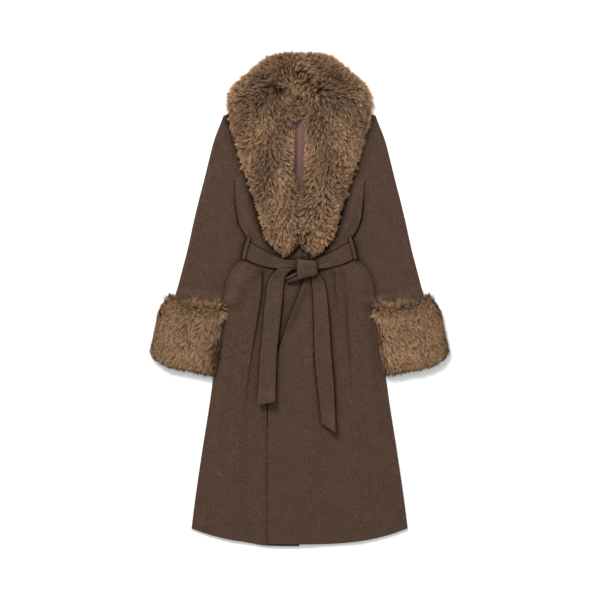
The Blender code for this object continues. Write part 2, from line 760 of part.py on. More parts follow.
def make_tail(name, table, end_slant, over_band):
    """A hanging end of the belt: it lies on the fronts, and on the band at its top."""
    low, high = table[0].y, table[-1].y

    def place(u, v):
        y = mix(low, high, v ** 0.8)
        left, right = read(table, y)
        x = mix(left, right, u)
        y -= end_slant * (u - 0.5) * ease((low + 60 - y) / 60)
        z = top_of_fronts(x, y) + 2 * LAYER_GAP
        if over_band:
            edge = belt_y(x) - read(BAND, abs(x))
            z += (BELT_CLOTH + LAYER_GAP) * ease((y - edge + 16) / 14)
        return x, y, z

    sheet(name, "belt_wool", steps(4), steps(24), place, BELT_CLOTH - 0.4, False)


def make_knot():
    """The turn of belt across the knot, and the loop that shows below it."""
    base = top_of_fronts(10, BELT_LEVEL) + 2 * LAYER_GAP + BELT_CLOTH

    def knot_place(u, v):
        x = mix(-5, 41.5, u)
        y = mix(mix(42, 54, u), mix(97, 95, u), v)
        dome = (max(1 - abs(2 * u - 1) ** 3, 0) * max(1 - abs(2 * v - 1) ** 3, 0)) ** 0.5
        return x, y, base, base + 3.5 + 7.5 * dome

    slab("belt_knot", "belt_wool", [0, 0.1, 0.3, 0.5, 0.7, 0.9, 1], steps(6), knot_place)

    def roll_place(u, v):
        x = mix(-31.5, -5.6, u)
        y = mix(mix(38, 41, u), mix(48, 64, u), v)
        dome = (max(1 - abs(2 * u - 1.4) ** 3, 0) * max(1 - abs(2 * v - 1) ** 3, 0)) ** 0.5
        bottom = top_of_fronts(x, y) + 2 * LAYER_GAP
        return x, y, bottom, bottom + 3 + 6 * dome

    slab("belt_roll", "belt_wool", steps(4), steps(4), roll_place)


for old in list(bpy.data.objects):
    bpy.data.objects.remove(old, do_unlink=True)

coat = bpy.data.collections.new("wool_coat")
bpy.context.scene.collection.children.link(coat)

make_back()
make_lining()
make_front("front_left", OVER_EDGE, 1, lambda x, y: front_top(x, y) + over_lift(x, y), 0)
make_front("front_right", UNDER_EDGE, -1, front_top, UNDER_HEM_DOWN)
for side, sign in (("left", 1), ("right", -1)):
    make_sleeve("sleeve_" + side, sign)
    make_cuff("cuff_" + side, sign)
    make_collar("collar_" + side, sign)
    make_loop("belt_loop_" + side, sign)
make_belt_back()
make_band("belt_front_left", 1, 16.5)
make_band("belt_front_right", -1, 16.0)
make_tail("belt_tail_left", TAIL_LEFT, 22, False)
make_tail("belt_tail_right", TAIL_RIGHT, -8, True)
make_knot()
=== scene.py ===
import math

import bpy
import numpy as np
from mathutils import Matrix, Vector
from mathutils.bvhtree import BVHTree


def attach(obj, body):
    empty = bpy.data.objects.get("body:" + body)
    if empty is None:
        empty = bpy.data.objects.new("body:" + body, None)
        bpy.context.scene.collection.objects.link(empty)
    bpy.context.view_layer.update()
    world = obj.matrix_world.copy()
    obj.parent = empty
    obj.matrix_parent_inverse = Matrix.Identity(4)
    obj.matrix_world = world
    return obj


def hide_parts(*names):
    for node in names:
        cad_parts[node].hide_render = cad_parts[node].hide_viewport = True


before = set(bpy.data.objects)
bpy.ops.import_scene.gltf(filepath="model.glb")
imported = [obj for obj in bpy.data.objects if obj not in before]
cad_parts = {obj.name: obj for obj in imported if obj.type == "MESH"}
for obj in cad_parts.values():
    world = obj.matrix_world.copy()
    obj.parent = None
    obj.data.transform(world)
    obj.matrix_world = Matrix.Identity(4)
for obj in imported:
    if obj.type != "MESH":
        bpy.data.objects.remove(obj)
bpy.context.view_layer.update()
mm = 0.001


# Plain helpers

def ease(t):
    t = np.clip(t, 0.0, 1.0)
    return t * t * (3 - 2 * t)


def fall(t):
    return 1 - ease(t)


def rise(x, span):
    # from 0 to 1 over a span, given by its start and length; with a negative length it falls
    return ease((x - span[0]) / span[1])


def mix(a, b, t):
    return a + (b - a) * t


def bump(x, middle, width):
    return np.exp(-((x - middle) / width) ** 2)


def smooth(rows):
    # reads a table's other columns at a value of its first, with no overshoot
    table = np.array(rows, float)
    keys, values = table[:, 0], table[:, 1:]
    gaps = np.diff(keys)
    steep = np.diff(values, axis=0) / gaps[:, None]
    slopes = np.zeros_like(values)
    slopes[0], slopes[-1] = steep[0], steep[-1]
    before, after = steep[:-1], steep[1:]
    steady = before * after > 0
    slopes[1:-1][steady] = (2 * before * after)[steady] / (before + after)[steady]

    def at(key):
        key = np.clip(np.asarray(key, float), keys[0], keys[-1])
        i = np.clip(np.searchsorted(keys, key, side="right") - 1, 0, len(gaps) - 1)
        span = gaps[i][..., None]
        t = (key - keys[i])[..., None] / span
        found = (
            values[i] * (1 + 2 * t) * (1 - t) ** 2
            + values[i + 1] * t * t * (3 - 2 * t)
            + slopes[i] * span * t * (1 - t) ** 2
            - slopes[i + 1] * span * t * t * (1 - t)
        )
        columns = [found[..., c] for c in range(found.shape[-1])]
        return columns[0] if len(columns) == 1 else columns

    return at


def unit(vectors):
    return vectors / np.maximum(np.linalg.norm(vectors, axis=-1, keepdims=True), 1e-9)


def evenly(*stretches):
    # (start, end, count) stretches joined into one rising list
    parts = [np.linspace(a, b, n, endpoint=False) for a, b, n in stretches]
    return np.concatenate(parts + [[stretches[-1][1]]])


# Where everything lies: the same levels and layers as the CAD model

cloth = {
    "wall": 2.2, "seamGap": 0.3, "layerGap": 0.6, "air": 2.0,
    "edgeRound": 3.5, "edgeEnd": 0.9, "backInset": 3.4, "round": (235.0, 65.0),
}
belt = {
    "cloth": 3.0, "level": 80.0, "sag": 39.0, "sagAt": 133.0, "clear": 24.5, "ramp": 24.0,
    "sagEnds": 150.0, "pillow": 0.7, "edge": 1.1,
}
skirt = {
    "hem": -603.0, "hemRise": 39.5, "hemHalf": 264.6, "backUp": 2.0, "underDown": 4.5,
    "neckHalf": 60.0, "neck": 505.0, "neckDip": 8.0, "shoulderDrop": 0.4646, "straight": 250.0,
    "waistLow": (-260.0, 270.0), "waistHigh": (110.0, 190.0), "hemPower": 2.8,
    "hemZone": (540.0, 60.0), "hemMiddle": 140.0,
}
sleeve = {
    "high": 6.4, "foldReach": 7.0, "puff": 1.2, "clear": 6.9, "tuck": 3.2, "seamIn": 1.2,
    "side": (-58.0, 40.0), "top": (300.0, -78.0), "low": (-38.0, 38.0),
    "gapFade": 0.16, "tuckWide": 0.03, "tuckFade": 0.05, "puffFade": 0.2,
    "dent": 0.5, "dentWaves": (19.0, 31.0, 24.0), "dentFade": 0.3, "flat": (380, 620),
}
pleats = {
    "sharp": 3.2, "crisp": 0.75, "shoulder": 24.0, "sideFall": 30.0, "sideIn": 4.0, "rise": 11.0,
    "swell": 2.5, "swellAt": (12.0, 45.0), "swellFade": 120.0,
    "blouse": 4.5, "blouseFrom": (40.0, 40.0), "blouseRise": 26.0, "blouseFade": (26.0, 110.0),
    "past": (24.0, 25.0), "parted": (140.0, 70.0), "edge": (-18.0, 14.0), "softFade": 30.0,
    "edgeStands": 8.0, "standsFrom": (-92.0, 50.0), "standsTo": (20.0, 30.0), "standsWide": 22.0,
}

bodySide = smooth([
    (-563.5, 264.6), (-495, 256), (-377, 238.9), (-260, 220.5), (-191, 210.7), (-103, 196),
    (-44, 189.9), (-5, 185), (34, 180), (68, 166.5), (82, 153), (95, 138.5), (106, 130),
    (120, 125), (136, 121), (152, 131), (176, 145), (203, 152), (240, 156), (309, 160),
    (362.6, 163), (411.6, 171.5), (446, 187.4),
])
overEdge = smooth([
    (-603, -77), (-270, -77), (-190, -69), (-98, -42), (-30, -16.5), (20, 2.5), (44, 10),
    (100, 9), (250, 15), (400, 40), (505, 62),
])
underEdge = smooth([
    (-603, -1), (-98, 6), (34, 11), (100, 15), (130, 9), (250, -15), (400, -40), (505, -62),
])
sleeveRows = [   # step, outer fold x y, inner fold x y, bend
    (0.0, 187.4, 446, 155, 225, 0), (0.08, 209.5, 387, 148.5, 203, 34),
    (0.16, 221.5, 339, 139.5, 181, 44), (0.25, 233, 292, 128, 160, 30),
    (0.35, 246.5, 240, 117, 140, 12), (0.46, 259, 188, 110, 115, 0),
    (0.57, 273, 124, 122, 80, 0), (0.68, 288, 66, 160, 35, 0),
    (0.8, 302.6, 12, 188.5, -14, 0), (0.9, 332, -66, 223, -90, 0), (1.0, 352, -138, 243, -156, 0),
]
sleeveAt = smooth(sleeveRows)
sleeveFold = smooth([(row[4], row[3]) for row in reversed(sleeveRows)])
collarAt = smooth([   # step, inner edge x y, outer edge x y
    (0.0, 0.3, 503, 0.3, 607), (0.05, 4, 502, 34, 606), (0.1, 6.5, 500, 67, 602),
    (0.15, 8, 497, 101.7, 583), (0.2, 8.5, 493, 124, 563), (0.25, 8.5, 488, 146, 544),
    (0.3, 8, 481, 168, 524), (0.35, 6, 469, 181, 502), (0.4, 5, 454, 184, 476),
    (0.45, 5, 440, 178, 451), (0.5, 11, 421, 173, 424), (0.55, 11.5, 392, 161, 392),
    (0.6, 11.5, 360, 153, 358), (0.65, 11.5, 325, 143.8, 324), (0.7, 9, 295, 131, 293),
    (0.75, 1.0, 262, 121, 259), (0.8, 0.6, 225, 107.5, 223), (0.85, 0.6, 185, 98, 184),
    (0.9, 0.8, 152, 89, 153), (0.95, 6, 126, 73, 128), (1.0, 26, 106, 47, 106),
])
cuffHalf = smooth([
    (0.0, -66, 68), (0.06, -68, 73), (0.14, -69.6, 81), (0.3, -71.8, 88), (0.5, -74.5, 88.4),
    (0.7, -75.7, 89), (0.86, -76.1, 89.8), (0.95, -76.2, 87), (1.0, -76.2, 83),
])
bandHalf = smooth([(0, 11.5), (35, 12), (48, 13.5), (82, 16.8), (110, 19.6), (141, 20)])
tailRight = [
    (-258, -103, -59.3), (-146, -96.8, -56.4), (-83, -90.7, -50.2), (-15, -85, -43.6),
    (29, -79.6, -39), (50, -71.8, -34.8), (62, -62.5, -27), (74, -49, -14),
]
tailLeft = [
    (-318, 54.6, 88.4), (-271, 50.2, 86.5), (-224, 45.3, 84.5), (-146, 37.5, 78.2),
    (-51, 35.3, 71.8), (-21, 34.3, 69.3), (35, 31, 62), (60, 24, 48),
]
# raised cloth beside each pleat: y, x, height
pleatRight = smooth([
    (-330, 150, 0), (-240, 132, 2.5), (-130, 116, 6.5), (-64, 105, 9), (27, 92.6, 10.5), (71, 92, 9),
])
pleatLeft = smooth([(-70, 98, 0), (-7, 92, 5), (27, 89.4, 6.5), (73, 87, 6)])
pleatOuter = smooth([
    (-320, 135, 0), (-225, 128.6, 2.5), (-130, 123.7, 6), (-51, 118.8, 7.5), (-2, 115.6, 5),
    (60, 112, 3.5),
])
crease = smooth([(-110, 175, 0), (-64, 170, 3), (0, 163, 4.2), (49, 159.5, 3)])
# broad soft folds of the skirt and the bodice: y, x, height, and a width for each
softRidges = [
    (smooth([(-560, 150, 1.5), (-380, 138, 4.5), (-200, 122, 3.5), (-60, 108, 0)]), 32),
    (smooth([(-560, -165, 1.5), (-400, -158, 4.5), (-180, -140, 3.5), (-40, -128, 0)]), 30),
    (smooth([(-580, -112, -0.5), (-420, -104, -2.0), (-240, -110, -1.5), (-120, -100, 0)]), 18),
    (smooth([(-600, 60, 0.8), (-420, 48, 2.4), (-250, 30, 2.0), (-90, 20, 0)]), 28),
    (smooth([(-520, 208, 0), (-380, 196, 3.0), (-200, 176, 3.4), (-60, 160, 0)]), 16),
    (smooth([(-520, -216, 0), (-350, -200, 3.0), (-180, -182, 3.4), (-50, -165, 0)]), 16),
    (smooth([(110, 112, 0), (150, 118, 1.5), (230, 132, 1.3), (330, 146, 0)]), 13),
    (smooth([(110, -112, 0), (150, -118, 1.5), (230, -132, 1.3), (330, -146, 0)]), 13),
]


def beltY(x):
    return belt["level"] + belt["sag"] * (np.minimum(abs(x), belt["sagEnds"]) / belt["sagAt"]) ** 2


def beltCos(x):
    return 1 / np.hypot(1, 2 * belt["sag"] * np.minimum(abs(x), belt["sagEnds"]) / belt["sagAt"] ** 2)


def shoulderFall(x):
    neck = skirt["neckDip"] * np.maximum(0, 1 - (x / skirt["neckHalf"]) ** 2)
    return neck + skirt["shoulderDrop"] * np.maximum(abs(x) - skirt["neckHalf"], 0)


def rowY(level, x):
    # rows of the body follow the hem, the belt or the shoulder
    look = skirt
    below, above = rise(level, look["waistLow"]), 1 - rise(level, look["waistHigh"])
    near = np.where(level < belt["level"], below, above)
    hem = ease((-level - look["straight"]) / (-look["hem"] - look["straight"]))
    shoulder = ease((level - look["straight"]) / (look["neck"] - look["straight"]))
    return (
        level + near * (beltY(x) - belt["level"])
        + hem * look["hemRise"] * (abs(x) / look["hemHalf"]) ** look["hemPower"]
        - shoulder * shoulderFall(x)
    )


cuffTop = np.array([255.0, -6.0])
cuffWay = np.array([0.18, -0.9837])
cuffAcross = np.array([0.9837, 0.18])
cuff = {
    "high": 34.0, "under": 7.1, "length": 180.0, "hole": 0.45, "mouth": 1.0, "dip": 15.0,
    "corner": 18.0, "cornerFrom": 20.0, "cornerWidth": 62.0, "lift": (-30.0, 26.0),
}


def alongCuff(x, y):
    return (x - cuffTop[0]) * cuffWay[0] + (y - cuffTop[1]) * cuffWay[1]


def cuffCorner(across):
    # how much shorter the cuff is towards its outer corner
    return cuff["corner"] * (np.maximum(0, across - cuff["cornerFrom"]) / cuff["cornerWidth"]) ** 2


def sleeveRise(x, y):
    return cuff["under"] * rise(alongCuff(abs(x), y), cuff["lift"])


def overSleeve(x, y):
    inner = np.where(y < sleeveRows[0][4], sleeveFold(y), bodySide(y))
    side = rise(abs(x) - inner, sleeve["side"])
    ends = rise(y, sleeve["top"]) * rise(y, sleeve["low"])
    return (sleeve["clear"] + sleeveRise(x, y)) * side * ends


def backUnder(x, y):
    away = abs(y - beltY(x)) - belt["clear"]
    overBelt = (belt["cloth"] + 2 * cloth["layerGap"]) * fall(away / belt["ramp"])
    return overSleeve(x, y) + overBelt


def pleat(rows, x, y, sharp):
    place, height = rows(y)
    drop = pleats["crisp"] * ease((x - place) / sharp + 0.5)
    return height * (drop + (1 - pleats["crisp"]) * ease((x - place) / pleats["shoulder"]))


def folds(x, y):
    look = pleats
    sharp = look["sharp"]
    below = beltY(x) - belt["clear"] - y
    above = y - beltY(x) - belt["clear"]
    inside = ease((bodySide(y) - look["sideIn"] - abs(x)) / look["sideFall"])
    left = pleat(pleatLeft, x, y, sharp) + pleat(pleatOuter, x, y, sharp)
    raised = np.where(x < 0, pleat(pleatRight, -x, y, sharp), left) + pleat(crease, abs(x), y, 2 * sharp)
    swell = look["swell"] * bump(x, *look["swellAt"])
    swell = swell * np.exp(-np.maximum(below, 0) / look["swellFade"])
    soft = 0
    for ridge, width in softRidges:
        place, height = ridge(y)
        soft = soft + height * bump(x, place, width)
    lower = (raised + swell) * ease(below / look["rise"])
    wide = rise(abs(x), look["blouseFrom"])
    upper = look["blouse"] * wide * ease(above / look["blouseRise"])
    upper = upper * (1 - rise(above, look["blouseFade"]))
    away = ease(np.maximum(below, above) / look["softFade"])
    return (np.where(below > 0, lower, np.where(above > 0, upper, 0)) + soft * away) * inside


def frontTop(x, y):
    return backUnder(x, y) + 2 * cloth["wall"] + cloth["air"] + folds(x, y)


def overLift(x, y):
    past, parted = rise(x - underEdge(y), pleats["past"]), rise(y, pleats["parted"])
    return (cloth["wall"] + cloth["layerGap"]) * (1 - past) * (1 - parted)


def topOfFronts(x, y):
    return frontTop(x, y) + overLift(x, y) * rise(x - overEdge(y), pleats["edge"])


def sideLean(y):
    near = 3.0
    return np.hypot(1, (bodySide(y + near) - bodySide(y - near)) / (2 * near))


def nearHem(level):
    return rise(-level, skirt["hemZone"])


def sideRound(y):
    return 1 - rise(y, cloth["round"])


# Materials, written as expressions on sockets

class Paint:
    def __init__(self, name, roughness, sheen=0.0, specular=0.3):
        self.material = bpy.data.materials.new(name)
        self.material.use_nodes = True
        self.tree = self.material.node_tree
        self.shader = self.tree.nodes["Principled BSDF"]
        self.shader.inputs["Roughness"].default_value = roughness
        self.shader.inputs["Specular IOR Level"].default_value = specular
        self.shader.inputs["Sheen Weight"].default_value = sheen
        self.shader.inputs["Sheen Roughness"].default_value = 0.5
        self.place = Value(self, self.node("ShaderNodeTexCoord").outputs["Object"])
        self.height = Value(self, self.node("ShaderNodeSeparateXYZ", None, Vector=self.place).outputs[1])

    def node(self, kind, settings=None, **inputs):
        made = self.tree.nodes.new(kind)
        for key, value in (settings or {}).items():
            if key == "stops":
                ramp = made.color_ramp
                while len(ramp.elements) < len(value):
                    ramp.elements.new(0.5)
                for element, (at, colour) in zip(ramp.elements, value):
                    element.position = at
                    element.color = (*colour, 1)
            else:
                setattr(made, key, value)
        for key, value in inputs.items():
            socket = made.inputs[int(key[1:])] if key[0] == "i" and key[1:].isdigit() else made.inputs[key]
            if isinstance(value, Value):
                self.tree.links.new(value.socket, socket)
            else:
                socket.default_value = value
        return made

    def math(self, operation, *values):
        named = {"i%d" % n: value for n, value in enumerate(values)}
        return Value(self, self.node("ShaderNodeMath", {"operation": operation}, **named).outputs[0])

    def noise(self, scale, detail=2.0, rough=0.5, stretch=None):
        place = self.place
        if stretch:
            made = self.node("ShaderNodeMapping", None, Vector=place, Scale=stretch)
            place = Value(self, made.outputs[0])
        settings = {"Vector": place, "Scale": scale, "Detail": detail, "Roughness": rough}
        return Value(self, self.node("ShaderNodeTexNoise", None, **settings).outputs[0])

    def attribute(self, name):
        made = self.node("ShaderNodeAttribute", {"attribute_name": name})
        return Value(self, made.outputs["Fac"])

    def ramp(self, value, stops):
        return Value(self, self.node("ShaderNodeValToRGB", {"stops": stops}, Fac=value).outputs[0])

    def mottled(self, value, look):
        return self.ramp(value, [(0.3, look["dark"]), (0.7, look["light"])])

    def scaled(self, colour, by):
        # a colour made lighter or darker by a value
        made = self.node("ShaderNodeVectorMath", {"operation": "SCALE"}, i0=colour, Scale=by)
        return Value(self, made.outputs[0])

    def colour(self, value):
        self.tree.links.new(value.socket, self.shader.inputs["Base Color"])

    def relief(self, value, distance):
        made = self.node("ShaderNodeBump", None, Height=value, Distance=distance, Strength=1.0)
        self.tree.links.new(made.outputs[0], self.shader.inputs["Normal"])


class Value:
    def __init__(self, paint, socket):
        self.paint, self.socket = paint, socket

    def __add__(self, other):
        return self.paint.math("ADD", self, other)

    def __mul__(self, other):
        return self.paint.math("MULTIPLY", self, other)

    def __sub__(self, other):
        return self.paint.math("SUBTRACT", self, other)

    def __pow__(self, other):
        return self.paint.math("POWER", self, other)

    __radd__ = __add__
    __rmul__ = __mul__

    def clamped(self):
        return self.paint.math("MINIMUM", self.paint.math("MAXIMUM", self, 0.0), 1.0)


woolLook = {
    "dark": (0.0300, 0.0168, 0.0110), "mid": (0.0550, 0.0310, 0.0203), "light": (0.102, 0.063, 0.044),
    "grain": 420.0, "fibre": 1400.0, "cloud": 45.0, "relief": 0.0008, "contrast": 2.4, "shadePower": 3.4,
}


def woolPaint(name, lighter=1.0):
    look = woolLook
    paint = Paint(name, 0.95, sheen=0.05, specular=0.1)
    grain = paint.noise(look["grain"], 3.0, 0.65)
    fibre = paint.noise(look["fibre"], 2.0, 0.6, stretch=(1.0, 0.35, 1.0))
    cloud = paint.noise(look["cloud"], 3.0, 0.55)
    fleck = (grain * 0.65 + fibre * 0.35 - 0.5) * look["contrast"] + 0.5
    tone = paint.ramp(fleck.clamped(), [
        (0.15, look["dark"]), (0.5, look["mid"]), (0.9, look["light"]),
    ])
    paintedShade = paint.attribute("open") ** look["shadePower"]   # painted shade: darker in hollows and under edges, where other pieces stand close
    paint.colour(paint.scaled(tone, (cloud * 0.4 + 0.8) * paintedShade * lighter))
    paint.relief(grain * 0.5 + fibre * 0.5, look["relief"])
    return paint.material


furLook = {
    "root": (0.015, 0.0050, 0.0008), "mid": (0.050, 0.0195, 0.0042), "tip": (0.360, 0.216, 0.122),
    "base": (0.054, 0.023, 0.006), "patch": 14.0, "speck": 600.0, "baseShade": 0.45, "baseRelief": 0.001,
}


def furPaint():
    look = furLook
    paint = Paint("fur_strands", 0.7, specular=0.2)
    along, tone = paint.attribute("along"), paint.attribute("tone")
    colour = paint.ramp(along, [
        (0.05, look["root"]), (0.45, look["mid"]), (1.0, look["tip"]),
    ])
    patch = paint.noise(look["patch"], 2.0)
    paint.colour(paint.scaled(colour, tone * (patch * 0.5 + 0.75)))
    return paint.material


def furBasePaint():
    look = furLook
    paint = Paint("fur_base", 0.95, specular=0.1)
    speck = paint.noise(look["speck"], 2.0)
    colour = paint.mottled(speck, {"dark": look["base"], "light": look["mid"]})
    paint.colour(paint.scaled(colour, look["baseShade"]))
    paint.relief(speck, look["baseRelief"])
    return paint.material


satinLook = {
    "dark": (0.112, 0.044, 0.034), "light": (0.144, 0.059, 0.046), "twill": 900.0, "cloud": 30.0,
    "relief": 0.0002, "deepest": 0.45, "deepBelow": 0.262, "deepFade": 10.0,
}


def liningPaint():
    look = satinLook
    paint = Paint("lining_satin", 0.5, sheen=0.2, specular=0.4)
    twill = paint.noise(look["twill"], 1.0, 0.5, stretch=(1.0, 0.2, 1.0))
    cloud = paint.noise(look["cloud"], 2.0)
    # painted shade: the lining gets darker further down inside the slit, below deepBelow, down to deepest
    up = ((paint.height - look["deepBelow"]) * look["deepFade"]).clamped()
    shade = (cloud * 0.3 + 0.85) * (look["deepest"] + (1 - look["deepest"]) * up)
    paint.colour(paint.scaled(paint.mottled(twill, satinLook), shade))
    paint.relief(twill, look["relief"])
    return paint.material


tapeLook = {"dark": (0.36, 0.31, 0.25), "light": (0.48, 0.42, 0.35), "weave": 2600.0, "relief": 0.0002}


def labelPaint():
    paint = Paint("label_tape", 0.7)
    weave = paint.noise(tapeLook["weave"], 1.0, 0.5, stretch=(1.0, 0.3, 1.0))
    paint.colour(paint.mottled(weave, tapeLook))
    paint.relief(weave, tapeLook["relief"])
    return paint.material


paperLook = {"dark": (0.93, 0.93, 0.93), "light": (0.945, 0.945, 0.945), "grain": 40.0}


def floorPaint():
    paint = Paint("floor_paper", 0.9, specular=0.1)
    paint.colour(paint.mottled(paint.noise(paperLook["grain"], 2.0), paperLook))
    return paint.material


paints = {
    "wool": woolPaint("wool_brown"),
    "wool_dark": woolPaint("wool_back", 0.92),
    "belt_wool": woolPaint("wool_belt"),
    "fur": furPaint(),
    "furBase": furBasePaint(),
    "lining": liningPaint(),
    "label": labelPaint(),
}
print("materials ready")


# Building with Blender's own operators

def deselect():
    if bpy.context.object and bpy.context.object.mode != "OBJECT":
        bpy.ops.object.mode_set(mode="OBJECT")
    bpy.ops.object.select_all(action="DESELECT")


def applyAll(piece):
    deselect()
    piece.select_set(True)
    bpy.context.view_layer.objects.active = piece
    for modifier in list(piece.modifiers):
        bpy.ops.object.modifier_apply(modifier=modifier.name)


def gridPiece(name, across, along, place):
    # a grid primitive whose points are then laid where place says
    deselect()
    columns, rows = len(across) - 1, len(along) - 1
    bpy.ops.mesh.primitive_grid_add(x_subdivisions=columns, y_subdivisions=rows, size=1)
    piece = bpy.context.object
    piece.name = piece.data.name = name
    spots = np.zeros(len(piece.data.vertices) * 3)
    piece.data.vertices.foreach_get("co", spots)
    spots = spots.reshape(-1, 3)
    u = np.asarray(across, float)[np.rint((spots[:, 0] + 0.5) * columns).astype(int)]
    v = np.asarray(along, float)[np.rint((spots[:, 1] + 0.5) * rows).astype(int)]
    points = np.stack(np.broadcast_arrays(*place(u, v)), axis=1) * mm
    piece.data.vertices.foreach_set("co", points.ravel())
    piece.data.update()
    return piece


def areaOf(piece):
    return sum(face.area for face in piece.data.polygons)


def tilt(piece):
    return sum(face.normal.z * face.area for face in piece.data.polygons)


def addWall(piece, wall, downward, edge=0.5):
    solid = piece.modifiers.new("wall", "SOLIDIFY")
    solid.thickness = wall * mm
    solid.offset = -1 if downward else 1
    solid.use_quality_normals = True
    bevel = piece.modifiers.new("edge", "BEVEL")
    bevel.width = edge * mm
    bevel.segments = 2
    bevel.limit_method = "ANGLE"
    bevel.angle_limit = math.radians(55)
    applyAll(piece)
    bpy.ops.object.shade_smooth_by_angle(angle=math.radians(60))


def dress(piece, paint, slot, *nodes):
    if paint:
        piece.data.materials.clear()
        piece.data.materials.append(paints[paint])
    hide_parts(*nodes)
    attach(piece, "root")


def declareSheet(piece, flat, area):
    width, length = flat[0] * mm, flat[1] * mm
    min(area, width * length)
    print(piece.name, "laid, cut area %.4f m2" % area)


def clothSheet(name, across, along, place, wall, downward, slot, flat, nodes, edge=0.5):
    piece = gridPiece(name, across, along, place)
    if tilt(piece) < 0:
        piece.data.flip_normals()
    area = areaOf(piece)
    addWall(piece, wall, downward, edge)
    dress(piece, slot, slot, *nodes)
    if flat:
        declareSheet(piece, flat, area)


# Body panels

panelRows = evenly(
    (-603, -590, 3), (-590, -330, 30), (-330, -60, 46), (-60, 36, 28), (36, 56, 8), (56, 104, 12),
    (104, 150, 16), (150, 300, 28), (300, 501.1, 22),
)


def roundOff(part, depth):
    # how far out and down a rounded edge has gone
    angle = np.clip(part, 0, 1) * math.pi / 2
    return cloth["edgeRound"] * np.sin(angle) ** 0.75, depth * (1 - np.cos(angle) ** 0.75)


def makeFront(name, node, edge, sign, top, hemDown, flat):
    depth = 2 * cloth["wall"] + cloth["air"] - cloth["edgeEnd"]
    start = panelRows[-1]

    def place(u, level):
        y = level.copy()
        for _ in range(7):
            side = bodySide(y) - cloth["edgeRound"] * sideLean(y)
            x = mix(edge(y), sign * side, np.minimum(u, 1))
            y = rowY(np.minimum(level, start), x)
        y = y - hemDown * nearHem(level) * ease((skirt["hemMiddle"] - abs(x)) / skirt["hemZone"][1])
        z = top(x, y)
        out, drop = roundOff(u - 1, depth * sideRound(y))
        x = np.where(u > 1, sign * (side + out * sideLean(y)), x)
        z = z - np.where(u > 1, drop, 0)
        out, drop = roundOff((level - start) / (skirt["neck"] - start), depth)
        y = y + np.where(level > start, out, 0)
        z = np.where(level > start, np.minimum(z, top(x, y) - drop), z)
        return x, y, z

    across = evenly((0, 0.04, 3), (0.04, 0.42, 22), (0.42, 0.78, 62), (0.78, 1, 22), (1, 2, 6))
    rows = np.concatenate([panelRows, evenly((503, skirt["neck"], 2))])
    clothSheet(name, across, rows, place, cloth["wall"], True, "wool", flat, [node])


def makeBack():
    def place(u, level):
        y = level.copy()
        for _ in range(7):
            x = u * (bodySide(y) - cloth["backInset"] * sideRound(y) * sideLean(y))
            y = rowY(level, x)
        y = y + skirt["backUp"] * nearHem(level)
        return x, y, backUnder(x, y)

    across = evenly((-1, -0.5, 18), (-0.5, 0.5, 12), (0.5, 1, 18))
    rows = np.append(panelRows[::2], skirt["neck"] - cloth["backInset"])
    clothSheet(
        "back_panel", across, rows, place, cloth["wall"], False, "wool_dark",
        (524, 1100), ["back"],
    )


makeBack()


def overTop(x, y):
    stands = rise(y, pleats["standsFrom"]) * (1 - rise(y, pleats["standsTo"]))
    stands = stands * fall((x - overEdge(y)) / pleats["standsWide"])
    return frontTop(x, y) + overLift(x, y) + pleats["edgeStands"] * stands


makeFront(
    "front_under", "front_right", underEdge, -1, frontTop, skirt["underDown"], (285, 1115)
)
makeFront("front_over", "front_left", overEdge, 1, overTop, 0, (345, 1110))


# Sleeves: flattened tubes, their folds rounded

def ringPart(count):
    # shares of the fold's reach, of the width and of the height round a flattened tube
    arc, flat = max(4, count // 12), count // 3
    turn = np.linspace(0, math.pi / 2, arc)
    inner = [(1 - math.cos(a), 0.0, 0.5 + 0.5 * math.sin(a)) for a in turn]
    upper = [(1 - 2 * t, t, 1.0) for t in np.linspace(0, 1, flat + 2)[1:-1]]
    outer = [(-c, 1.0, h) for c, _, h in reversed(inner)]
    half = inner + upper + outer
    lower = [(c, w, 1 - h) for c, w, h in reversed(half[1:-1])]
    return np.array(half + lower + half[:1])


ring = ringPart(60)


def sleevePoint(step, index, room=0.0):
    look = sleeve
    outerX, outerY, innerX, innerY, bend = sleeveAt(step)
    dx, dy = outerX - innerX, outerY - innerY
    width = np.hypot(dx, dy)
    shape = ring[index]
    distance = shape[:, 0] * look["foldReach"] + shape[:, 1] * (width + 2 * room)
    z = shape[:, 2] * (look["high"] + 2 * room) - room
    part = (distance - room) / width
    bow = bend * np.sin(math.pi * part) * (1 - part) / width
    x, y = innerX + dx * part + dy * bow, innerY + dy * part - dx * bow
    seam = mix(sleeveRows[0][4], sleeveRows[0][2], part)
    gap = bodySide(seam) - look["seamIn"] - mix(sleeveRows[0][3], sleeveRows[0][1], part)
    ends = -look["tuck"] * np.maximum(0, 1 - part / look["tuckWide"])
    x = x + gap * fall(step / look["gapFade"]) + ends * fall(step / look["tuckFade"])
    puff = look["puff"] * np.sin(math.pi * part) ** 2 * ease(step / look["puffFade"])
    a, b, c = look["dentWaves"]
    dent = look["dent"] * np.sin(x / a + y / b) * np.sin(y / c)
    dent = dent * np.sin(math.pi * part) * ease(step / look["dentFade"])
    z = z + np.where(shape[:, 2] > 0.5, puff + dent, 0)
    return x, y, z + sleeveRise(x, y)


def mend(step, **settings):
    bpy.ops.object.mode_set(mode="EDIT")
    bpy.ops.mesh.select_all(action="SELECT")
    step(**settings)
    bpy.ops.mesh.normals_make_consistent(inside=False)
    bpy.ops.object.mode_set(mode="OBJECT")


def closedTube(name, around, along, place):
    # a grid whose two sides meet is merged there into a tube
    piece = gridPiece(name, around, along, place)
    mend(bpy.ops.mesh.remove_doubles, threshold=0.02 * mm)
    points = np.array([face.center for face in piece.data.polygons])
    normals = np.array([face.normal for face in piece.data.polygons])
    if ((points - points.mean(axis=0)) * normals).sum() < 0:
        piece.data.flip_normals()
    return piece


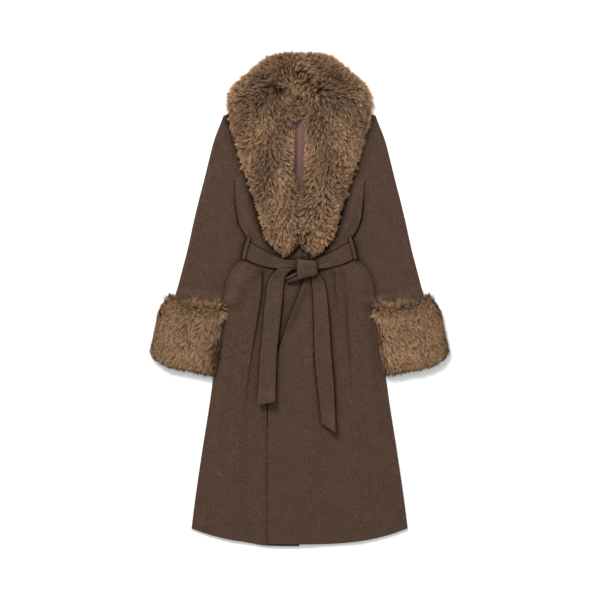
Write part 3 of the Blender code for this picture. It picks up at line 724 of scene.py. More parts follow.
def makeSleeve(name, node, sign):
    def place(index, step):
        x, y, z = sleevePoint(step, index.astype(int))
        return sign * x, y, z

    steps = evenly((0, 0.12, 10), (0.12, 0.8, 60), (0.8, 1, 12))
    piece = closedTube(name, np.arange(len(ring)), steps, place)
    area = areaOf(piece)
    addWall(piece, cloth["wall"], True)
    dress(piece, "wool", "wool", node)
    declareSheet(piece, sleeve["flat"], area)


sides = {"left": 1, "right": -1}
for side, sign in sides.items():
    makeSleeve("sleeve_tube_" + side, "sleeve_" + side, sign)


# Lining and label, seen through the slit in the collar

liningLook = {
    "low": 250.0, "high": 492.0, "lowHalf": 24.0, "highHalf": 50.0, "wall": 0.8,
    "wave": 0.35, "waveLength": 3.1, "drift": 0.4, "driftLength": 40.0, "edge": 0.15,
}
labelLook = {
    "left": -10.0, "right": 5.0, "low": 473.0, "high": 484.0, "above": 2.2, "crown": 0.25,
    "wall": 0.8, "edge": 0.2,
}


def makeLining():
    look = liningLook
    def place(u, v):
        y = mix(look["low"], look["high"], v)
        x = u * mix(look["lowHalf"], look["highHalf"], v)
        z = backUnder(0 * x, y) + cloth["wall"] + cloth["seamGap"]
        drift = look["drift"] * np.sin(y / look["driftLength"])
        return x, y, z + look["wave"] * (1 + np.sin(x / look["waveLength"] + drift))

    flat = (2 * look["highHalf"], look["high"] - look["low"])
    clothSheet(
        "lining_strip", evenly((-1, 1, 48)), evenly((0, 1, 40)), place, look["wall"], False,
        "lining", flat, ["back_lining"], look["edge"],
    )


def makeLabel():
    look = labelLook
    def place(u, v):
        x, y = mix(look["left"], look["right"], u), mix(look["low"], look["high"], v)
        return x, y, look["above"] + cloth["wall"] + look["crown"] * bump(v, 0.5, 0.6) + 0 * u

    flat = (look["right"] - look["left"], look["high"] - look["low"])
    clothSheet(
        "neck_tab", evenly((0, 1, 8)), evenly((0, 1, 8)), place, look["wall"], False,
        "label", flat, ["neck_label"], look["edge"],
    )


makeLining()
makeLabel()


# Belt

bandLook = {
    "end": (136.0, 119.0), "lean": 0.25, "endIn": 0.5, "endRound": 0.5, "turnPower": 1.6, "flat": (140, 40),
    "pull": 0.5, "pullWaves": (5.0, 14.0), "pullAt": (22.0, 26.0), "stands": 4.5, "standsAt": (48.0, 24.0),
    "backHalf": 20.0, "backIn": 1.4, "backFlat": (285, 40),
}


def sideEnd(y):
    return bandLook["end"][0] - bandLook["lean"] * (y - bandLook["end"][1])


def makeBand(name, node, sign, start):
    look = bandLook
    def place(u, v):
        part = np.minimum(u, 1)
        x = start + 0 * u
        for _ in range(6):
            half = bandHalf(abs(x)) / beltCos(x)
            y = beltY(x) + v * half
            x = mix(start, sign * (sideEnd(y) - belt["cloth"] - look["endIn"]), part)
        z = topOfFronts(x, y) + cloth["layerGap"]
        depth = z - overSleeve(x, y) - cloth["seamGap"]
        turn = np.clip(u - 1, 0, 1)
        twist, length = look["pullWaves"]
        pull = look["pull"] * np.sin(v * twist + x / length)   # drawn towards the knot
        pull = pull * bump(abs(x), *look["pullAt"])
        stands = look["stands"] * ease(-v) * bump(abs(x), *look["standsAt"])   # over the hollows
        z = z + (belt["pillow"] * (1 - v ** 4) + pull + stands) * (1 - turn)
        z = z - depth * turn ** look["turnPower"]
        return x + sign * look["endRound"] * np.sin(turn * math.pi / 2), y, z

    across = evenly((0, 1, 44), (1, 2, 5))
    clothSheet(
        name, across, evenly((-1, 1, 14)), place, belt["cloth"], False, "belt_wool",
        look["flat"], [node], belt["edge"],
    )


makeBand("belt_band_left", "belt_front_left", 1, 16.5)
makeBand("belt_band_right", "belt_front_right", -1, 16.0)


def makeBeltBack():
    def place(u, v):
        x = 0 * u
        for _ in range(6):
            y = beltY(x) + v * bandLook["backHalf"] / beltCos(x)
            x = u * (sideEnd(y) - belt["cloth"] - bandLook["backIn"])
        return x, y, overSleeve(x, y)

    clothSheet(
        "belt_behind", evenly((-1, 1, 70)), evenly((-1, 1, 8)), place, belt["cloth"], False,
        "belt_wool", bandLook["backFlat"], ["belt_back"], belt["edge"],
    )


makeBeltBack()


loopLook = {
    "low": 93.0, "high": 151.0, "in": 5.5, "width": 7.0, "cloth": 1.6, "crown": 0.2,
    "overBelt": (22.0, 7.0),
}


def makeLoop(name, node, sign):
    look = loopLook
    def place(u, v):
        y = mix(look["low"], look["high"], v)
        x = sideEnd(y) - look["in"] + look["width"] * (u - 0.5)
        over = 1 - rise(abs(y - beltY(x)), look["overBelt"])
        over = (belt["cloth"] + belt["pillow"] + cloth["layerGap"]) * over
        z = topOfFronts(sign * x, y) + over + cloth["layerGap"] + cloth["seamGap"]
        return sign * x, y, z + look["crown"] * bump(u, 0.5, 0.35)

    # a strip too narrow to count as a sheet
    clothSheet(
        name, evenly((0, 1, 6)), evenly((0, 1, 50)), place, look["cloth"], False, "wool",
        None, [node],
    )


for side, sign in sides.items():
    makeLoop("side_loop_" + side, "belt_loop_" + side, sign)


tailLook = {
    "thinner": 0.4, "spacing": 0.8, "slantOver": 60.0, "ramp": (-16.0, 14.0),
    "sink": 3.4, "sinkAt": (4.0, 12.0), "tip": 46.0, "side": 7.5, "sideAt": (35.0, -60.0),
}


def makeTail(name, node, rows, slant, overBand, lift):
    look = tailLook
    table, low, high = smooth(rows), rows[0][0], rows[-1][0]

    def place(u, v):
        y = mix(low, high, v ** look["spacing"])
        left, right = table(y)
        x = mix(left, right, u)
        y = y - slant * (u - 0.5) * ease((low + look["slantOver"] - y) / look["slantOver"])
        z = topOfFronts(x, y) + 2 * cloth["layerGap"]
        if overBand:
            edge = beltY(x) - bandHalf(abs(x))
            over = rise(y - edge, look["ramp"])
            sunk = rise(y - edge, look["sinkAt"])   # into the band
            z = z + (belt["cloth"] + cloth["layerGap"]) * over - look["sink"] * sunk
        z = z + lift * ease((low + look["tip"] - y) / look["tip"])   # the tip stands off the skirt
        z = z + look["side"] * ease(u) * rise(y, look["sideAt"])
        return x, y, z + belt["pillow"] * (1 - (2 * u - 1) ** 4)

    width = abs(rows[2][2] - rows[2][1])
    clothSheet(
        name, evenly((0, 1, 12)), evenly((0, 1, 110)), place, belt["cloth"] - look["thinner"], False,
        "belt_wool", (width, high - low), [node], belt["edge"],
    )


makeTail("belt_end_right", "belt_tail_right", tailRight, -8, True, 12.0)
makeTail("belt_end_left", "belt_tail_left", tailLeft, 22, False, 10.0)


def closedPad(name, across, along, place):
    # top and bottom in one ring round the pad: place gives x, y, bottom and top
    def ringPlace(a, v):
        x, y, low, high = place(np.where(a <= 1, a, 2 - a), v)
        return x, y, np.where((a > 1) & (a < 2), low, high)

    below = 2 - np.asarray(across)[::-1]
    piece = closedTube(name, np.concatenate([across, below[1:]]), along, ringPlace)
    mend(bpy.ops.mesh.fill_holes, sides=0)
    bpy.ops.object.shade_smooth_by_angle(angle=math.radians(70))
    return piece


# corners are at low left, low right, high left and high right
wrapLook = {
    "corners": [(-4, 44), (44.5, 55), (-6, 96), (41, 90)], "belly": 2.0, "sink": 0.4, "high": 8.5,
    "edge": 5.0, "groove": 1.0, "grooves": 9.0, "slant": 0.15, "over": (10.0, 80.0),
}
rollLook = {
    "corners": [(-31, 36), (-3, 42), (-34, 50), (-3, 66)], "lean": 1.3, "edge": 5.5, "high": 6.0,
    "groove": 3.2, "grooveAt": 0.45, "slant": 0.15, "grooveWide": 0.1,
}


def patch(corners, u, v):
    (ax, ay), (bx, by), (cx, cy), (dx, dy) = corners
    return mix(mix(ax, cx, v), mix(bx, dx, v), u), mix(mix(ay, by, u), mix(cy, dy, u), v)


def domed(u, v, power, lean=1.0):
    across, along = 1 - abs(2 * u - lean) ** power, 1 - abs(2 * v - 1) ** power
    return (np.maximum(across, 0) * np.maximum(along, 0)) ** 0.5


def makeKnot():
    overX, overY = wrapLook["over"]
    base = float(topOfFronts(np.array(overX), np.array(overY))) + 2 * cloth["layerGap"] + belt["cloth"]

    def wrap(u, v):
        look = wrapLook
        x, y = patch(look["corners"], u, v)
        x = x + look["belly"] * np.sin(math.pi * v) * (u - 0.5)
        dome = domed(u, v, 4)
        groove = look["groove"] * np.sin(look["grooves"] * (u - look["slant"] * v))
        pull = groove * np.sin(math.pi * v) * dome
        high = base + look["edge"] + look["high"] * dome + pull
        return x, y, base - look["sink"] + 0 * u, high

    piece = closedPad("knot_wrap", evenly((0, 1, 30)), evenly((0, 1, 30)), wrap)
    dress(piece, "belt_wool", "belt_wool", "belt_knot")

    def roll(u, v):
        look = rollLook
        x, y = patch(look["corners"], u, v)
        bottom = topOfFronts(x, y) + cloth["layerGap"]
        top = bottom + look["edge"] + look["high"] * domed(u, v, 3, look["lean"])
        groove = bump(v, look["grooveAt"] + look["slant"] * u, look["grooveWide"])
        return x, y, bottom, top - look["groove"] * groove

    piece = closedPad("knot_loop", evenly((0, 1, 20)), evenly((0, 1, 30)), roll)
    dress(piece, "belt_wool", "belt_wool", "belt_roll")
    print("knot tied")


makeKnot()


# Fur: a dark pad with locks of tapered strands rooted in it

def gridOf(place, across, along):
    # points and outward normals of a surface, rows along and columns across
    u, v = np.meshgrid(across, along)
    shape = u.shape
    points = np.stack([np.asarray(c).reshape(shape) for c in place(u.ravel(), v.ravel())], axis=2)
    down, right = np.gradient(points, axis=0), np.gradient(points, axis=1)
    return points, unit(np.cross(right, down)), u, v


def scatter(points, normals, u, v, count, rng, keep=None):
    # roots spread by area over a surface
    a, b, c = points[:-1, :-1], points[:-1, 1:], points[1:, :-1]
    area = np.linalg.norm(np.cross(b - a, c - a), axis=2)
    if keep is not None:
        area = area * keep(u[:-1, :-1], v[:-1, :-1])
    total = np.cumsum(area.ravel())
    chosen = np.searchsorted(total, (np.arange(count) + rng.random(count)) / count * total[-1])
    chosen = np.minimum(chosen, total.size - 1)
    i, j = np.unravel_index(chosen, area.shape)
    s, t = rng.random(count), rng.random(count)

    def inside(values):
        s2, t2 = (s, t) if values.ndim == 2 else (s[:, None], t[:, None])
        top = mix(values[i, j], values[i, j + 1], s2)
        return mix(top, mix(values[i + 1, j], values[i + 1, j + 1], s2), t2)

    return inside(points), unit(inside(normals)), inside(u), inside(v)


def waves(x, y, seed, size):
    # a slow random field, mostly between -1 and 1
    rng = np.random.default_rng(seed)
    total = 0
    for _ in range(5):
        angle, phase = rng.random(2) * 2 * math.pi
        k = (0.6 + rng.random()) / size
        total = total + np.sin(k * (x * math.cos(angle) + y * math.sin(angle)) + phase)
    return total / 2.6


def zones(rows, places):
    # every row adds an amount where all its spans hold; a span with a negative length falls instead
    total = 0
    for amount, *spans in rows:
        for key, start, length in spans:
            amount = amount * rise(places[key], (start, length))
        total = total + amount
    return total


def turned(way, normal, angle):
    side = np.cross(normal, way)
    return way * np.cos(angle)[:, None] + side * np.sin(angle)[:, None]


def growStrands(name, roots, normals, ways, sizes, tone, loose, look, rng):
    # each root is a lock, and its strands lean towards the lock's tip, less so in a loose one
    locks, each = len(roots), look["each"]
    ways = turned(ways, normals, (rng.random(locks) - 0.5) * look["jitter"])
    lockLength = look["length"] * sizes * (0.8 + 0.4 * rng.random(locks))
    tips = roots + ways * lockLength[:, None] + normals * look["lift"]
    lockTone = tone * (1 + look["lockTone"] * (rng.random(locks) - 0.5))
    pick = np.repeat(np.arange(locks), each)
    count = len(pick)
    normal = normals[pick]
    free = loose[pick]
    way = turned(ways[pick], normal, (rng.random(count) - 0.5) * look["spread"] * (1 + free))
    side = unit(np.cross(normal, way))
    spread = np.sqrt(rng.random(count)) * look["radius"]
    angle = rng.random(count) * 2 * math.pi
    root = roots[pick] + way * (spread * np.cos(angle))[:, None] + side * (spread * np.sin(angle))[:, None]
    length = lockLength[pick] * (0.8 + 0.35 * rng.random(count))
    lift = look["lift"] * (0.55 + 0.75 * rng.random(count)) * np.minimum(1, sizes[pick] + 0.25)
    natural = root + way * length[:, None] + normal * lift[:, None]
    pull = (tips[pick] - natural) * (look["clump"] * (1 - free) * (0.5 + 0.7 * rng.random(count)))[:, None]
    curl = side * ((rng.random(count) - 0.5) * look["curl"])[:, None]
    width = look["width"] * (0.7 + 0.6 * rng.random(count)) * (1 - 0.35 * free)
    shade = lockTone[pick] * (1 + look["strandTone"] * (rng.random(count) - 0.5))
    rings, along = [], []
    for s, share in ((0.0, 0.8), (0.5, 1.0), (1.0, 0.0)):
        middle = (
            root + way * (length * s ** 1.2)[:, None]
            + normal * (lift * (1 - (1 - s) ** 2) - look["droop"] * sizes[pick] * s * s)[:, None]
            + pull * s ** 1.5 + curl * math.sin(math.pi * s)
        )
        if share == 0:
            rings.append(middle[:, None])
            along.append(np.full((count, 1), s))
            break
        half = (width * share * 0.5)[:, None]
        ridge = middle + normal * half * 0.9
        rings.append(np.stack([middle - side * half, ridge, middle + side * half], axis=1))
        along.append(np.full((count, 3), s))
    points = np.concatenate(rings, axis=1)
    points[..., 2] = np.maximum(points[..., 2], look["floor"])
    alongs = np.concatenate(along, axis=1).ravel()
    quads = np.array([(0, 1, 4, 3), (1, 2, 5, 4)])
    ends = np.array([(3, 4, 6), (4, 5, 6)])
    first = (np.arange(count) * 7)[:, None, None]
    loops = np.concatenate([
        (quads[None] + first).reshape(count, -1), (ends[None] + first).reshape(count, -1)
    ], axis=1)
    corners = np.tile([4, 4, 3, 3], count)
    mesh = bpy.data.meshes.new(name)
    mesh.vertices.add(count * 7)
    mesh.vertices.foreach_set("co", (points * mm).ravel())
    mesh.loops.add(loops.size)
    mesh.loops.foreach_set("vertex_index", loops.ravel().astype(np.int32))
    mesh.polygons.add(len(corners))
    starts = np.concatenate([[0], np.cumsum(corners)[:-1]])
    mesh.polygons.foreach_set("loop_start", starts.astype(np.int32))
    mesh.polygons.foreach_set("use_smooth", np.ones(len(corners), bool))
    mesh.update(calc_edges=True)
    mesh.attributes.new("along", "FLOAT", "POINT").data.foreach_set("value", alongs.astype(np.float32))
    mesh.attributes.new("tone", "FLOAT", "POINT").data.foreach_set(
        "value", np.repeat(shade, 7).astype(np.float32)
    )
    piece = bpy.data.objects.new(name, mesh)
    bpy.context.scene.collection.objects.link(piece)
    mesh.materials.append(paints["fur"])
    return piece


def joined(base, strands):
    # the pad carries its strands as one piece
    deselect()
    for piece in strands + [base]:
        piece.select_set(True)
    bpy.context.view_layer.objects.active = base
    bpy.ops.object.join()
    return base


collarLook = {
    "high": 27.0, "rim": 6.0, "padShare": 0.52, "outerInset": 15.0, "innerInset": 5.0,
    "locks": 4000, "each": 7, "length": 19.0, "lift": 7.0, "droop": 2.0, "radius": 2.2,
    "spread": 0.35, "clump": 0.75, "curl": 2.5, "width": 1.15, "floor": 0.3, "jitter": 0.8,
    "lockTone": 1.0, "strandTone": 0.6, "swirl": 0.5, "swirlSize": 18.0, "reach": 0.985,
    "labelLean": -5.0, "labelLow": (462.0, 12.0), "labelHigh": (-499.0, 6.0), "innerFade": 0.2,
    "shoulder": (12.0, 24.0), "chestLift": 1.4, "chest": (-270.0, 60.0),
    "innerShare": 0.2, "outerShare": 0.36,
    "crown": 3, "soft": 0.6, "end": 1.02, "endLength": 0.14, "edgeWide": 0.08, "edgeHigh": 0.35,
    "tone": 0.94, "toneWaves": 0.28, "toneSize": 20.0, "rimAt": (0.8, 0.2),
    "partings": [   # how much darker, x and half width, y and half height
        (0.46, 64, 40, 482, 42), (0.25, 88, 26, 540, 16), (0.2, 70, 40, 335, 36), (0.2, 0, 14, 225, 45),
    ],
    "tones": [(0.2, ("u", 0.8, 0.2)), (1.1, ("u", 0.94, 0.06)), (-0.35, ("v", 0.95, 0.05))],
    "sizes": [   # shorter at the rim, at the tip, at its inner side and beside the slit
        (-0.12, ("u", 0.8, 0.2)), (-0.2, ("v", 0.9, 0.1)), (-0.3, ("u", 0.35, -0.35), ("v", 0.84, 0.06)),
        (-0.68, ("u", 0.16, -0.16), ("v", 0.42, 0.05), ("v", 0.8, -0.14)),
    ],
}
# which way the fur lies: a share of outward and of downward, over u from inside to outside and v down
collarFlow = {
    "turnRuffle": 0.12, "turn": (0.13, 0.14), "nape": (-0.7, 0.9), "napeRuffle": 0.5, "napeAt": (0.3, 0.1),
    "inner": (-1.1, 0.1), "innerAt": (0.0, 0.42), "outerAt": (0.38, 0.5), "outerDown": 0.35,
    "downAt": (0.4, 0.5), "chestAt": (0.24, 0.2), "shoulderShare": 0.4, "shoulderAt": (0.2, 0.05),
    "tipAt": (0.86, 0.1), "tipOut": 0.25, "tipShare": 0.7, "tipDown": 1.1, "calm": 0.6, "ahead": 0.02,
}


def collarBottom(x, y):
    look = collarLook
    past = y - (skirt["neck"] - shoulderFall(x))
    onCoat = 2 * cloth["wall"] + cloth["air"] + cloth["layerGap"]
    above = onCoat * (1 - rise(past, look["shoulder"]))
    lift = look["chestLift"] * rise(-y, look["chest"])
    return np.where(past > 0, above, topOfFronts(x, y) + cloth["layerGap"] + lift)


def collarPlace(sign, share, outerInset, innerInset):
    look = collarLook
    def place(u, v):
        innerX, innerY, outerX, outerY = collarAt(v * look["reach"])
        lean = sign * look["labelLean"]
        innerX = innerX + lean * rise(innerY, look["labelLow"]) * rise(-innerY, look["labelHigh"])
        width = np.hypot(outerX - innerX, outerY - innerY)
        inset = innerInset * ease(v / look["innerFade"])
        low = np.minimum(inset, look["innerShare"] * width) / width
        high = 1 - np.minimum(outerInset, look["outerShare"] * width) / width
        part = mix(low, high, u)
        x, y = sign * mix(innerX, outerX, part), mix(innerY, outerY, part)
        bottom = collarBottom(x, y)
        dome = np.maximum(1 - abs(2 * part - 1) ** look["crown"], 0) ** look["soft"]
        tip = np.minimum(1, ((look["end"] - v) / look["endLength"]) ** look["soft"])
        top = look["rim"] + (look["high"] - look["rim"]) * dome * tip
        edge = ease(np.minimum(u, 1 - u) / look["edgeWide"])
        return x, y, bottom, bottom + top * share * mix(look["edgeHigh"], 1, edge)

    return place


def collarWays(points, normals, u, v, ruffle, sign):
    look = collarFlow
    innerX, innerY, outerX, outerY = collarAt(v)
    out = unit(np.stack([sign * (outerX - innerX), outerY - innerY, 0 * v], axis=1))
    ahead, behind = collarAt(v + look["ahead"]), collarAt(v - look["ahead"])
    inX, inY, outX, outY = [a - b for a, b in zip(ahead, behind)]
    down = unit(np.stack([sign * mix(inX, outX, u), mix(inY, outY, u), 0 * v], axis=1))
    turn = rise(v + look["turnRuffle"] * ruffle, look["turn"])
    # a ruffled parting at the nape, not a line
    nape = mix(*look["nape"], rise(u - look["napeRuffle"] * ruffle, look["napeAt"]))
    inner = mix(nape, mix(*look["inner"], rise(u, look["innerAt"])), turn)
    outward = mix(inner, 1.0, rise(u, look["outerAt"]))
    shoulder = look["shoulderShare"] * rise(v, look["shoulderAt"])
    downward = mix(1.0, look["outerDown"], rise(u, look["downAt"]))
    downward = downward * mix(rise(v, look["chestAt"]), 1, shoulder)
    tip = rise(v, look["tipAt"])
    outward = mix(outward, look["tipOut"], tip * look["tipShare"])
    downward = mix(downward, look["tipDown"], tip)
    way = out * outward[:, None] + down * downward[:, None]
    angle = collarLook["swirl"] * waves(points[:, 0], points[:, 1], 5, collarLook["swirlSize"])
    way = way - normals * (way * normals).sum(axis=1)[:, None]
    return turned(unit(way), normals, angle * (1 - look["calm"] * rise(u, collarLook["rimAt"])))


def makeCollar(name, node, sign, seed):
    look = collarLook
    rng = np.random.default_rng(seed)
    pad = collarPlace(sign, look["padShare"], look["outerInset"], look["innerInset"])
    across, along = evenly((0, 0.12, 5), (0.12, 0.88, 14), (0.88, 1, 5)), evenly((0, 1, 60))
    base = closedPad(name, across, along, pad)
    base.data.materials.append(paints["furBase"])
    base.data.materials.append(paints["wool"])
    for face in base.data.polygons:
        face.material_index = 1 if face.normal.z < -0.6 else 0

    def top(u, v):
        x, y, _, high = pad(u, v)
        return x, y, high

    grid = gridOf(top, np.linspace(0, 1, 60), np.linspace(0, 1, 160))
    points, normals, gu, gv = grid
    if normals[..., 2].mean() < 0:
        normals = -normals
    roots, normal, u, v = scatter(points, normals, gu, gv, look["locks"], rng)
    way = collarWays(roots, normal, u, v, rng.random(len(roots)) - 0.5, sign)
    way = way + normal * (rng.random(len(roots)) * 0.25)[:, None]
    shadeX, shadeY = abs(roots[:, 0]), roots[:, 1]
    tone = look["tone"] + look["toneWaves"] * waves(shadeX, shadeY, 11, look["toneSize"])
    for darker, x, wide, y, high in look["partings"]:
        tone = tone - darker * bump(shadeX, x, wide) * bump(shadeY, y, high)
    places = {"u": u, "v": v}
    tone = tone + zones(look["tones"], places)
    sizes = 1 + zones(look["sizes"], places)
    rim = rise(u, look["rimAt"])
    strands = growStrands(name + "_strands", roots, normal, unit(way), sizes, tone, rim, collarLook, rng)
    piece = joined(base, [strands])
    dress(piece, None, "fur", node)
    print(name, "grown,", len(piece.data.polygons), "faces")


for side, sign in sides.items():
    makeCollar("fur_collar_" + side, "collar_" + side, sign, 21)


cuffLook = {
    "inset": 8.0, "locks": 3400, "each": 7, "length": 21.0, "lift": 5.0, "droop": 2.5, "radius": 2.6,
    "spread": 0.3, "clump": 0.6, "curl": 2.0, "width": 1.1, "floor": 0.3, "jitter": 0.45,
    "lockTone": 0.7, "strandTone": 0.5, "startIn": 3.0, "ends": (0.08, 0.92), "least": 0.62, "shift": 3.0,
    "square": 0.7, "lowEnd": (0.86, 0.14), "topEnd": 0.18, "endShare": 0.7, "endHigh": 4.0, "holeTo": 0.88,
    "underAt": -0.2, "underShare": 0.35, "topDensity": 3.2, "topZone": 0.14,
    "up": 0.42, "upZone": 0.15, "upWay": -0.9, "lean": -0.45, "leanWaves": 0.25, "ruffle": 3.2,
    "ruffleZone": 0.13, "swirl": 0.4, "waveSize": 18.0, "stand": 0.2, "upStand": 0.5, "wispSize": 9.0,
    "tone": 1.12, "toneWaves": 0.12, "toneSize": 22.0,
    # out is 1 at the outer side and -1 at the inner one, up is 1 for locks that point up the sleeve
    "inward": [(1.1, ("out", 0, -1), ("step", 0.22, -0.2))],
    # in tones, the row darker towards the lower end is painted shade where the fur rounds down towards the
    # floor
    "tones": [(-0.16, ("step", 0.16, -0.16)), (0.1, ("up", 0, 1)), (-0.4, ("step", 0.9, 0.08))],
    "sizes": [
        (-0.65, ("step", 0.84, 0.14)), (-0.25, ("out", 0, 1)), (0.4, ("out", 0, -1), ("step", 0.22, -0.2)),
        (0.7, ("up", 0, 1), ("wisp", 0, 1)), (-0.3, ("up", 0, 1), ("wisp", 1, -1)),
        (-0.2, ("up", 1, -1), ("step", 0.1, -0.1)), (-0.35, ("up", 0, 1), ("step", 0, 0.08)),
    ],
    "loose": [[(1, ("step", 0.84, 0.14))], [(0.7, ("out", 0, 1))], [(0.8, ("up", 0, 1))]],
}


def cuffOuter(angle, step, inset):
    look = cuffLook
    inner, outer = cuffHalf(step)
    taper = mix(look["least"], 1, np.sin(math.pi * mix(*look["ends"], step)) ** 0.5)
    middle = (inner + outer) / 2 - look["shift"]   # the fur is thinner where it meets the skirt
    half = (outer - inner) / 2 - inset + look["shift"]
    side, up = np.cos(angle), np.sin(angle)
    across = middle - half * np.copysign(abs(side) ** look["square"], side)
    rounded = np.copysign(abs(up) ** look["square"], up)
    top, low = cuff["high"] * taper - inset, cuff["under"] + sleeve["high"] / 2
    ends = np.maximum(rise(step, look["lowEnd"]), fall(step / look["topEnd"]))
    top = mix(top, low + look["endHigh"], look["endShare"] * ends)   # rounds down to both its ends
    z = np.where(up > 0, low + (top - low) * rounded, low * (1 + rounded))
    dip = cuff["dip"] * (0.4 - side * side) * (1 - step)
    start = inset + look["startIn"] * (1 - side * side)   # only wisps reach further up
    along = mix(start, cuff["length"] - inset, step) + dip - cuffCorner(across) * step * step
    x = cuffTop[0] + cuffWay[0] * along + cuffAcross[0] * across
    y = cuffTop[1] + cuffWay[1] * along + cuffAcross[1] * across
    return x, y, np.maximum(z, 0.3)


def makeCuff(name, node, sign, seed):
    look = cuffLook
    rng = np.random.default_rng(seed)
    count = len(ring) - 1
    inside = [(2.0, 1.0)] + [(3.0, s) for s in np.linspace(1, look["holeTo"], 5)]
    rows = [(1.0, s) for s in evenly((0, 1, 26))] + inside + [(1.0, 0.0)]

    def place(index, row):
        row = row.astype(int)
        part = np.array([rows[r][0] for r in row])
        step = np.array([rows[r][1] for r in row])
        index = index.astype(int)
        ox, oy, oz = cuffOuter(2 * math.pi * (index % count) / count, step, look["inset"])
        hx, hy, hz = sleevePoint(step, index, cuff["hole"])
        across = (hx - cuffTop[0]) * cuffAcross[0] + (hy - cuffTop[1]) * cuffAcross[1]
        far = cuff["length"] - cuffCorner(across) - cuff["mouth"] - look["inset"] - alongCuff(hx, hy)
        far = np.where(part == 2.0, far, 0)   # the hole's mouth
        hx, hy = hx + cuffWay[0] * far, hy + cuffWay[1] * far
        outer = part == 1.0
        return sign * np.where(outer, ox, hx), np.where(outer, oy, hy), np.where(outer, oz, hz)

    base = closedTube(name, np.arange(count + 1), np.arange(len(rows)), place)
    bpy.ops.object.shade_smooth_by_angle(angle=math.radians(70))
    base.data.materials.append(paints["furBase"])

    def surface(angle, step):
        x, y, z = cuffOuter(angle, step, look["inset"])
        return sign * x, y, z

    points, normals, gu, gv = gridOf(surface, np.linspace(0, 2 * math.pi, 121), np.linspace(0, 1, 60))
    middle = points.mean(axis=(0, 1))
    if ((points - middle) * normals).sum() < 0:
        normals = -normals
    roots, normal, angle, step = scatter(
        points, normals, gu, gv, look["locks"], rng,
        lambda a, s: np.where(np.sin(a) > look["underAt"], 1.0, look["underShare"])
        * mix(look["topDensity"], 1, ease(s / look["topZone"])),
    )
    down = np.tile([sign * cuffWay[0], cuffWay[1], 0], (len(roots), 1))
    lean = np.tile([-sign * cuffAcross[0], -cuffAcross[1], 0], (len(roots), 1))
    x, y, count = roots[:, 0], roots[:, 1], len(roots)
    places = {"step": step, "out": -np.cos(angle), "wisp": waves(abs(x), 0 * x, 14, look["wispSize"])}
    # a ruffled parting, not a line
    places["up"] = upward = (rng.random(count) > mix(look["up"], 1, step / look["upZone"])) * 1.0
    across = look["lean"] + look["leanWaves"] * waves(x, y, 8, look["waveSize"])
    across = across * fall(places["out"]) + zones(look["inward"], places)
    across = across + look["ruffle"] * (rng.random(count) - 0.5) * fall(step / look["ruffleZone"])
    way = down * mix(1, look["upWay"], upward)[:, None] + lean * across[:, None]
    way = way - normal * (way * normal).sum(axis=1)[:, None]
    way = turned(unit(way), normal, look["swirl"] * waves(x, y, 9, look["waveSize"]))
    stand = look["stand"] * rng.random(count) + look["upStand"] * upward * rng.random(count)
    way = unit(way + normal * stand[:, None])
    tone = look["tone"] + look["toneWaves"] * waves(abs(x), y, 12, look["toneSize"])
    tone = tone + zones(look["tones"], places)
    sizes = 1 + zones(look["sizes"], places)
    loose = np.maximum.reduce([zones(rows, places) for rows in look["loose"]])
    strands = growStrands(name + "_strands", roots, normal, way, sizes, tone, loose, cuffLook, rng)
    piece = joined(base, [strands])
    dress(piece, None, "fur", node)
    print(name, "grown,", len(piece.data.polygons), "faces")


for side, sign in sides.items():
    makeCuff("fur_cuff_" + side, "cuff_" + side, sign, 31)


# Painted shade: the wool's colour is made darker where other pieces stand close over it

# settings of the painted shade: how far its rays reach and how light the flat-lying coat stays
hollows = {"reach": 25.0, "rays": 22, "lift": 0.4, "least": 0.89, "belowBelt": 0.09, "flatSkirt": -0.32}


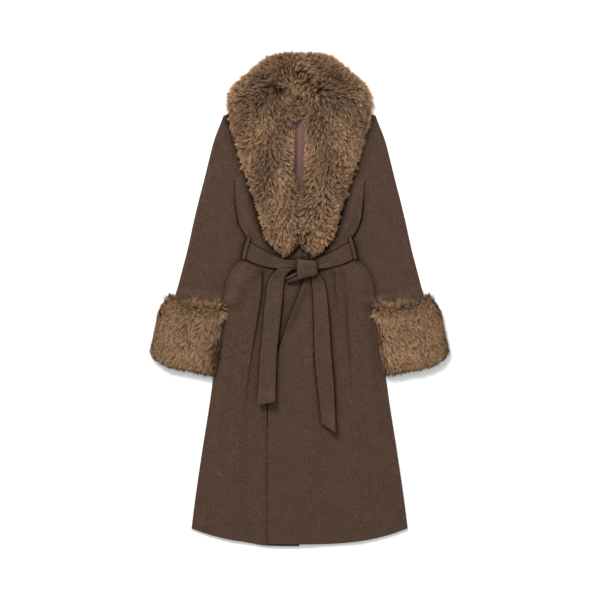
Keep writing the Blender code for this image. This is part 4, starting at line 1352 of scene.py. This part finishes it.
def paintHollowShade(names, solids):
    spots, faces, first = [], [], 0
    for name in names + solids:
        mesh = bpy.data.objects[name].data
        spots += [tuple(vert.co) for vert in mesh.vertices]
        faces += [tuple(first + index for index in face.vertices) for face in mesh.polygons]
        first = len(spots)
    tree = BVHTree.FromPolygons(spots, faces)
    turns = np.arange(hollows["rays"]) + 0.5
    out = np.sqrt(turns / hollows["rays"])
    swing = turns * math.pi * (3 - math.sqrt(5))
    rays = np.stack([out * np.cos(swing), out * np.sin(swing), np.sqrt(1 - out * out)], axis=1)
    reach = hollows["reach"] * mm
    for name in names:
        mesh = bpy.data.objects[name].data
        found = np.ones(len(mesh.vertices), np.float32)
        for vert in mesh.vertices:
            if vert.normal.z < 0.15:
                continue
            turn = vert.normal.to_track_quat("Z", "Y").to_matrix()
            start = vert.co + vert.normal * (hollows["lift"] * mm)
            closed = 0.0
            for ray in rays:
                distance = tree.ray_cast(start, turn @ Vector(ray), reach)[3]
                if distance is not None:
                    closed += 1 - distance / reach
            light = 1 - closed / hollows["rays"]
            flat = hollows["belowBelt"] if name.startswith("sleeve") else hollows["flatSkirt"]
            if vert.co.y < flat:
                light = max(light, hollows["least"])   # the coat lies flat there
            found[vert.index] = light
        # the share of rays that get out is kept as painted shade for the wool's colour
        mesh.attributes.new("open", "FLOAT", "POINT").data.foreach_set("value", found)


starts = ["sleeve_tube_", "belt_band_", "belt_end_", "side_loop_"]
pairs = [start + side for start in starts for side in sides]
paintHollowShade(
    ["front_over", "front_under", "knot_wrap", "knot_loop", "back_panel", "belt_behind"] + pairs,
    ["collar_left", "collar_right"],
)
print("hollows found")


# Floor, lights and camera

studio = {
    "floorSize": 14.0, "world": 0.78, "keyPower": 430.0, "keySize": 2.0,
    "keyPlace": (-1.9, 4.2, 4.2), "cameraHigh": 6.0,
    "frameWidth": 1.47, "middleX": 0.0012, "middleY": -0.0049, "sensor": 36.0, "floorDown": 0.0005,
}


def makeStudio():
    look = studio
    deselect()
    bpy.ops.mesh.primitive_plane_add(size=look["floorSize"], location=(0, 0, -look["floorDown"]))
    floor = bpy.context.object
    floor.name = "floor"
    floor.data.materials.append(floorPaint())
    world = bpy.data.worlds.new("studio_air")
    world.use_nodes = True
    world.node_tree.nodes["Background"].inputs["Color"].default_value = (1, 1, 1, 1)
    world.node_tree.nodes["Background"].inputs["Strength"].default_value = look["world"]
    bpy.context.scene.world = world
    deselect()
    bpy.ops.object.light_add(type="AREA", location=look["keyPlace"])
    light = bpy.context.object
    light.name = "key_light"
    light.data.energy = look["keyPower"]
    light.data.size = look["keySize"]
    light.rotation_euler = (-light.location).to_track_quat("-Z", "Y").to_euler()
    bpy.ops.object.camera_add(location=(look["middleX"], look["middleY"], look["cameraHigh"]))
    camera = bpy.context.object
    camera.name = "photo_camera"
    camera.rotation_euler = (0, 0, 0)
    camera.data.sensor_width = look["sensor"]
    camera.data.lens = look["sensor"] * look["cameraHigh"] / look["frameWidth"]
    bpy.context.scene.camera = camera
    bpy.context.scene.view_settings.view_transform = "Standard"
    print("studio set")


makeStudio()
